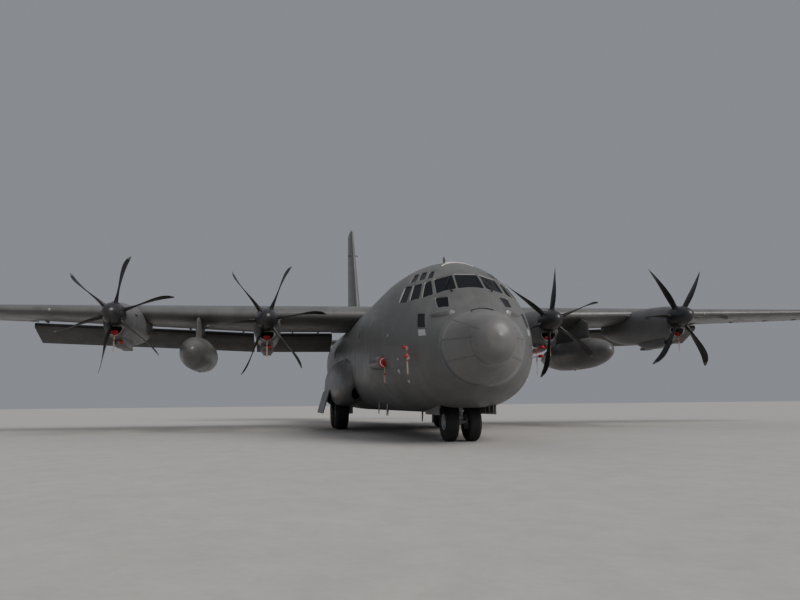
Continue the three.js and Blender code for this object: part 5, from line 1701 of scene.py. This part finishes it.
def make_main_gear(name, side):
    """What stands round a pair of main legs: the brakes, clamps, pipes and hub caps."""
    parts = []

    def hoops(index, profile, starts, centre, axis, steps):
        """Rings of one profile along an axis, with the materials of the indexes in turn."""
        for k, start in enumerate(starts):
            parts.extend(marked(index[k % len(index)], turned(
                [(r, start + a) if axis == "z" else (r, side * (start + a)) for r, a in profile],
                centre, axis, steps, True)))

    for _, station in WHEEL_STATIONS:
        hub = at(0, station, MAIN_WHEEL[1])
        hoops((1, 3), ((145, 0), (203, 0), (205, 3), (205, 17), (203, 20), (145, 20)),
              range(1928, 2010, 27), hub, "x", 36)
        hoops((0,), ((84, -20), (93, -18), (96, -12), (96, 12), (93, 18), (84, 20)),
              (870, 1010, 1240, 1400), at(side * 1790, station, 0), "z", 28)
        for degrees in (100, 140, 180):
            s = station + 160 * math.cos(math.radians(degrees))
            z = MAIN_WHEEL[1] + 160 * math.sin(math.radians(degrees))
            parts += marked(1, rod((side * 1876, s, z), (side * 1930, s, z), 22, 14))
        hoops((0,), ((62, 0), (196, 4), (200, 12), (200, 48), (196, 54), (62, 54)),
              (1868,), hub, "x", 36)
        parts += marked(2, tube([(side * x, station - ahead, z) for x, ahead, z in (
            (1812, 92, 1430), (1830, 104, 1200), (1838, 116, 960), (1862, 120, 800))], 8, 8))
        parts += marked(1, turned([(0, 0), (72, 0), (72, 14), (54, 34), (30, 38), (0, 38)],
                                  at(side * 2372, station, MAIN_WHEEL[1]), (side, 0, 0), 28))
    fit(f"main_brakes_{name}", parts, [gear_paint, steel, black_paint, exhaust_metal])


def make_sponson_inlet(name, side):
    """Lining and guide vanes of the inlet in the fairing's nose."""
    x, z = side * INLET_X, INLET_HEIGHT
    rows = ((9130, 136), (9500, 130), (9880, 106), (9880, 92), (9500, 116), (9130, 124))
    parts = [loft(inlet_rings(side, rows), loop=True)]
    parts += [block((x - 120, 9420, z + rise - 5), (x + 120, 9560, z + rise + 5), 2)
              for rise in (-70, 0, 70)]
    parts.append(block((x - 96, 9846, z - 130), (x + 96, 9870, z + 130), 4))
    fit(f"sponson_inlet_{name}", parts, black_paint)


def make_gear_details():
    make_nose_gear()
    for name, side in SIDES:
        make_main_gear(name, side)
        make_sponson_inlet(name, side)


# Hold, ramp and cockpit

DECK = 2450
RAMP_SLOPE = (RAMP_TOP - FLOOR) / (RAMP_END - RAMP_HINGE)


def cushion(low, high, power=2.6, steps=14):
    """A crowned pad between two corners in millimetres."""
    low, high = np.array(low, float), np.array(high, float)
    middle, half = (low + high) / 2, (high - low) / 2
    rings = []
    for i in range(1, steps):
        v = -math.pi / 2 + math.pi * i / steps
        level, rise = signed(math.cos(v), 2 / power), signed(math.sin(v), 2 / power)
        ring = [(level * signed(math.cos(a), 2 / power), level * signed(math.sin(a), 2 / power),
                 rise) for a in angles(32)]
        rings.append([at(*(middle + half * np.array(p))) for p in ring])
    return loft(rings)


def make_hold():
    frames = []
    for station in range(5960, 16800, 508):
        if min(abs(station - s) for s in ROUND_WINDOWS) > 215:
            frames.append(loft([[body_point(station + ds, d, inset) for ds, inset in (
                (-22, 79), (22, 79), (22, 88), (8, 92), (8, 142), (22, 146), (22, 152), (-22, 152))]
                for d in range(-138, 139, 6)]))
    for d in (-118, -96, -62, 62, 96, 118):
        frames.append(loft([[body_point(s, d + dd, inset) for dd, inset in (
            (-0.5, 79), (0.5, 79), (0.4, 104), (-0.4, 104))] for s in (5560, 8000, 12000, 16800)]))
    fit("hold_frames", frames, inside_paint)
    rails = []
    for x in (-1350, -560, 560, 1350):
        for lean in (-1, 1):
            rails.append(block((x + lean * 46, 4200, FLOOR - 1),
                               (x + lean * 58, 17880, FLOOR + 34), 3))
        rails += [rod((x - 42, s, FLOOR + 22), (x + 42, s, FLOOR + 22), 20, 10)
                  for s in range(4400, 17661, 260)]
    fit("floor_rollers", rails, steel)

    def on_ramp(x, s, rise):
        return at(x, s, FLOOR + (s - RAMP_HINGE) * RAMP_SLOPE + rise)

    treads = []
    for x in (-1000, -560, 560, 1000):
        treads.append(loft([[on_ramp(x + dx, s, dz) for dx, dz in (
            (-30, -6), (30, -6), (26, rise), (-26, rise))]
            for s, rise in ((18140, 4), (18200, 26), (21000, 26), (21060, 4))]))
    for s in range(18250, 20951, 270):
        treads.append(loft([[on_ramp(x, s + ds, dz) for ds, dz in (
            (-9, -4), (9, -4), (7, 9), (-7, 9))] for x in (-520, 520)]))
    fit("ramp_treads", treads, floor_metal, None, "cargo_ramp")


def make_crew_door_fittings():
    def inside(s, z):
        return across_of(on_side(1, s, z)) - HULL_WALL

    steps = []
    for z in (1360, 1640, 1920, 2200):
        x = inside(4150, z)
        steps.append(block((x - 170, 3850, z - 10), (x + 4, 4450, z + 10), 4))
        for ridge in range(-160, -31, 32):
            steps.append(block((x + ridge, 3870, z + 9), (x + ridge + 10, 4430, z + 14), 1))
    for s in (3838, 4462):
        steps.append(loft([[at(inside(s, z) + dx, s + ds, z) for dx, ds in (
            (6, -9), (6, 9), (-70, 9), (-70, -9))] for z in np.linspace(1260, 2320, 9)]))
    fit("crew_door_steps", steps, floor_metal, None, "crew_door")
    parts = []
    for s, z in ((4150, 2380), (4150, 1300)):
        p, n = stand(1, s, z, -3)
        parts.append(turned([(0, 0), (60, 0), (60, 7), (54, 10), (0, 10)], p, n, 24))
        x = across_of(p + n * 14 * S)
        parts.append(rod((x, s - 46, z), (x, s + 46, z), 9, 10))
    fit("crew_door_handle", parts, steel, None, "crew_door")


def make_cockpit():
    black, display, metal = 0, 1, 2

    def box(x, half, s0, s1, z0, z1, soft):
        return block((x - half, s0, DECK + z0), (x + half, s1, DECK + z1), soft)

    parts = marked(black, box(0, 1030, 2030, 2290, 950, 985, 12))
    for x in (-820, -480, 0, 480, 820):
        parts += marked(black, box(x, 150, 2108, 2122, 560, 800, 5))
        parts += marked(display, box(x, 128, 2120, 2126, 582, 778, 2))
    for x in (-560, 560):
        # Control column and yoke
        column = [(x, s, DECK + z) for s, z in ((2420, 0), (2400, 300), (2350, 520), (2330, 600))]
        wheel = [(x + 150 * math.sin(a), 2345, DECK + 650 - 110 * math.cos(a))
                 for a in np.linspace(-2.4, 2.4, 21)]
        bar = [(x - 120, 2345, DECK + 640), (x, 2335, DECK + 610), (x + 120, 2345, DECK + 640)]
        parts += marked(black, tube(column, 24, 12), tube(wheel, 15), tube(bar, 13))
    for x in (-75, -25, 25, 75):
        # Throttles
        parts += marked(metal, tube([(x, 2560, DECK + 376), (x, 2540, DECK + 470)], 8, 8))
        parts += marked(black, cushion((x - 18, 2520, DECK + 465), (x + 18, 2560, DECK + 500),
                                       2.4, 8))
    knob = [(0, 0), (16, 0), (16, 12), (12, 18), (0, 18)]
    for s in (2700, 2790, 2880):
        parts += marked(metal, *[turned(knob, at(x, s, DECK + 380), "z", 12)
                                 for x in (-110, -40, 40, 110)])
    fit("cockpit_controls", parts, [black_paint, window_glass, steel])
    for name, side in SIDES:
        x = side * 560
        pads = [cushion((x - half, front, DECK + low), (x + half, back, DECK + high))
                for half, front, back, low, high in ((235, 2705, 3140, 405, 500),
                                                     (225, 3060, 3145, 470, 1130),
                                                     (130, 3100, 3200, 1130, 1300))]
        made = fit(f"seat_pads_{name}", pads, seat_cloth)


def make_interior():
    make_hold()
    make_crew_door_fittings()
    make_cockpit()


# Nodes that keep their own mesh


def soften_nodes():
    soften_node("cargo_floor", floor_metal, 0.003)
    soften_node("flight_deck", inside_paint, 0.003)
    for name in ("cargo_ramp", "aft_cargo_door"):
        soften_node(name, tail_paint, 0.002, 50)
    for name in ("main_gear_left", "main_gear_right", "nose_gear_leg"):
        soften_node(name, gear_paint, 0.003)
    for name in ("main_gear_door_left", "main_gear_door_right", "nose_gear_door_left",
                 "nose_gear_door_right"):
        soften_node(name, tail_paint, 0.003)
    for number in range(1, 5):
        soften_node(f"engine_{number}", exhaust_metal, 0.003)


# The setting

GROUND_REACH = 150
# Name, place, spread in degrees, power and colour of the suns
LIGHTS = (
    ("key", (11, -13, 14), 40, 2.7, (1, 0.95, 0.9)),
    ("fill", (-14, -10, 12), 60, 0.25, (0.9, 0.95, 1)),
    ("back", (-4, 16, 12), 60, 0.7, (1, 0.9, 0.8)),
)


def setting():
    reach = GROUND_REACH
    material = paint("ground_material", (0.4, 0.39, 0.375), 0.8, dirt=0.3)
    floor = mesh_object("ground", [(-reach, -reach, 0), (reach, -reach, 0), (reach, reach, 0),
                                   (-reach, reach, 0)], [(0, 1, 2, 3)], material, smooth=False)
    world = bpy.data.worlds.new("world")
    bpy.context.scene.world = world
    world.use_nodes = True
    background = world.node_tree.nodes["Background"]
    background.inputs["Color"].default_value = (0.62, 0.65, 0.72, 1)
    background.inputs["Strength"].default_value = 0.41
    for name, place, spread, power, colour in LIGHTS:
        data = bpy.data.lights.new(name, "SUN")
        data.angle = math.radians(spread)
        data.energy = power
        data.color = colour
        lamp = bpy.data.objects.new(name, data)
        lamp.location = place
        lamp.visible_glossy = name == "key"
        lamp.rotation_euler = (-Vector(place)).to_track_quat("-Z", "Y").to_euler()
        bpy.context.scene.collection.objects.link(lamp)


make_body()
make_wings()
make_tail()
make_engines()
make_tanks()
make_sponsons()
make_wheels()
make_windows()
make_nose_details()
make_gear_details()
make_interior()
soften_nodes()
setting()
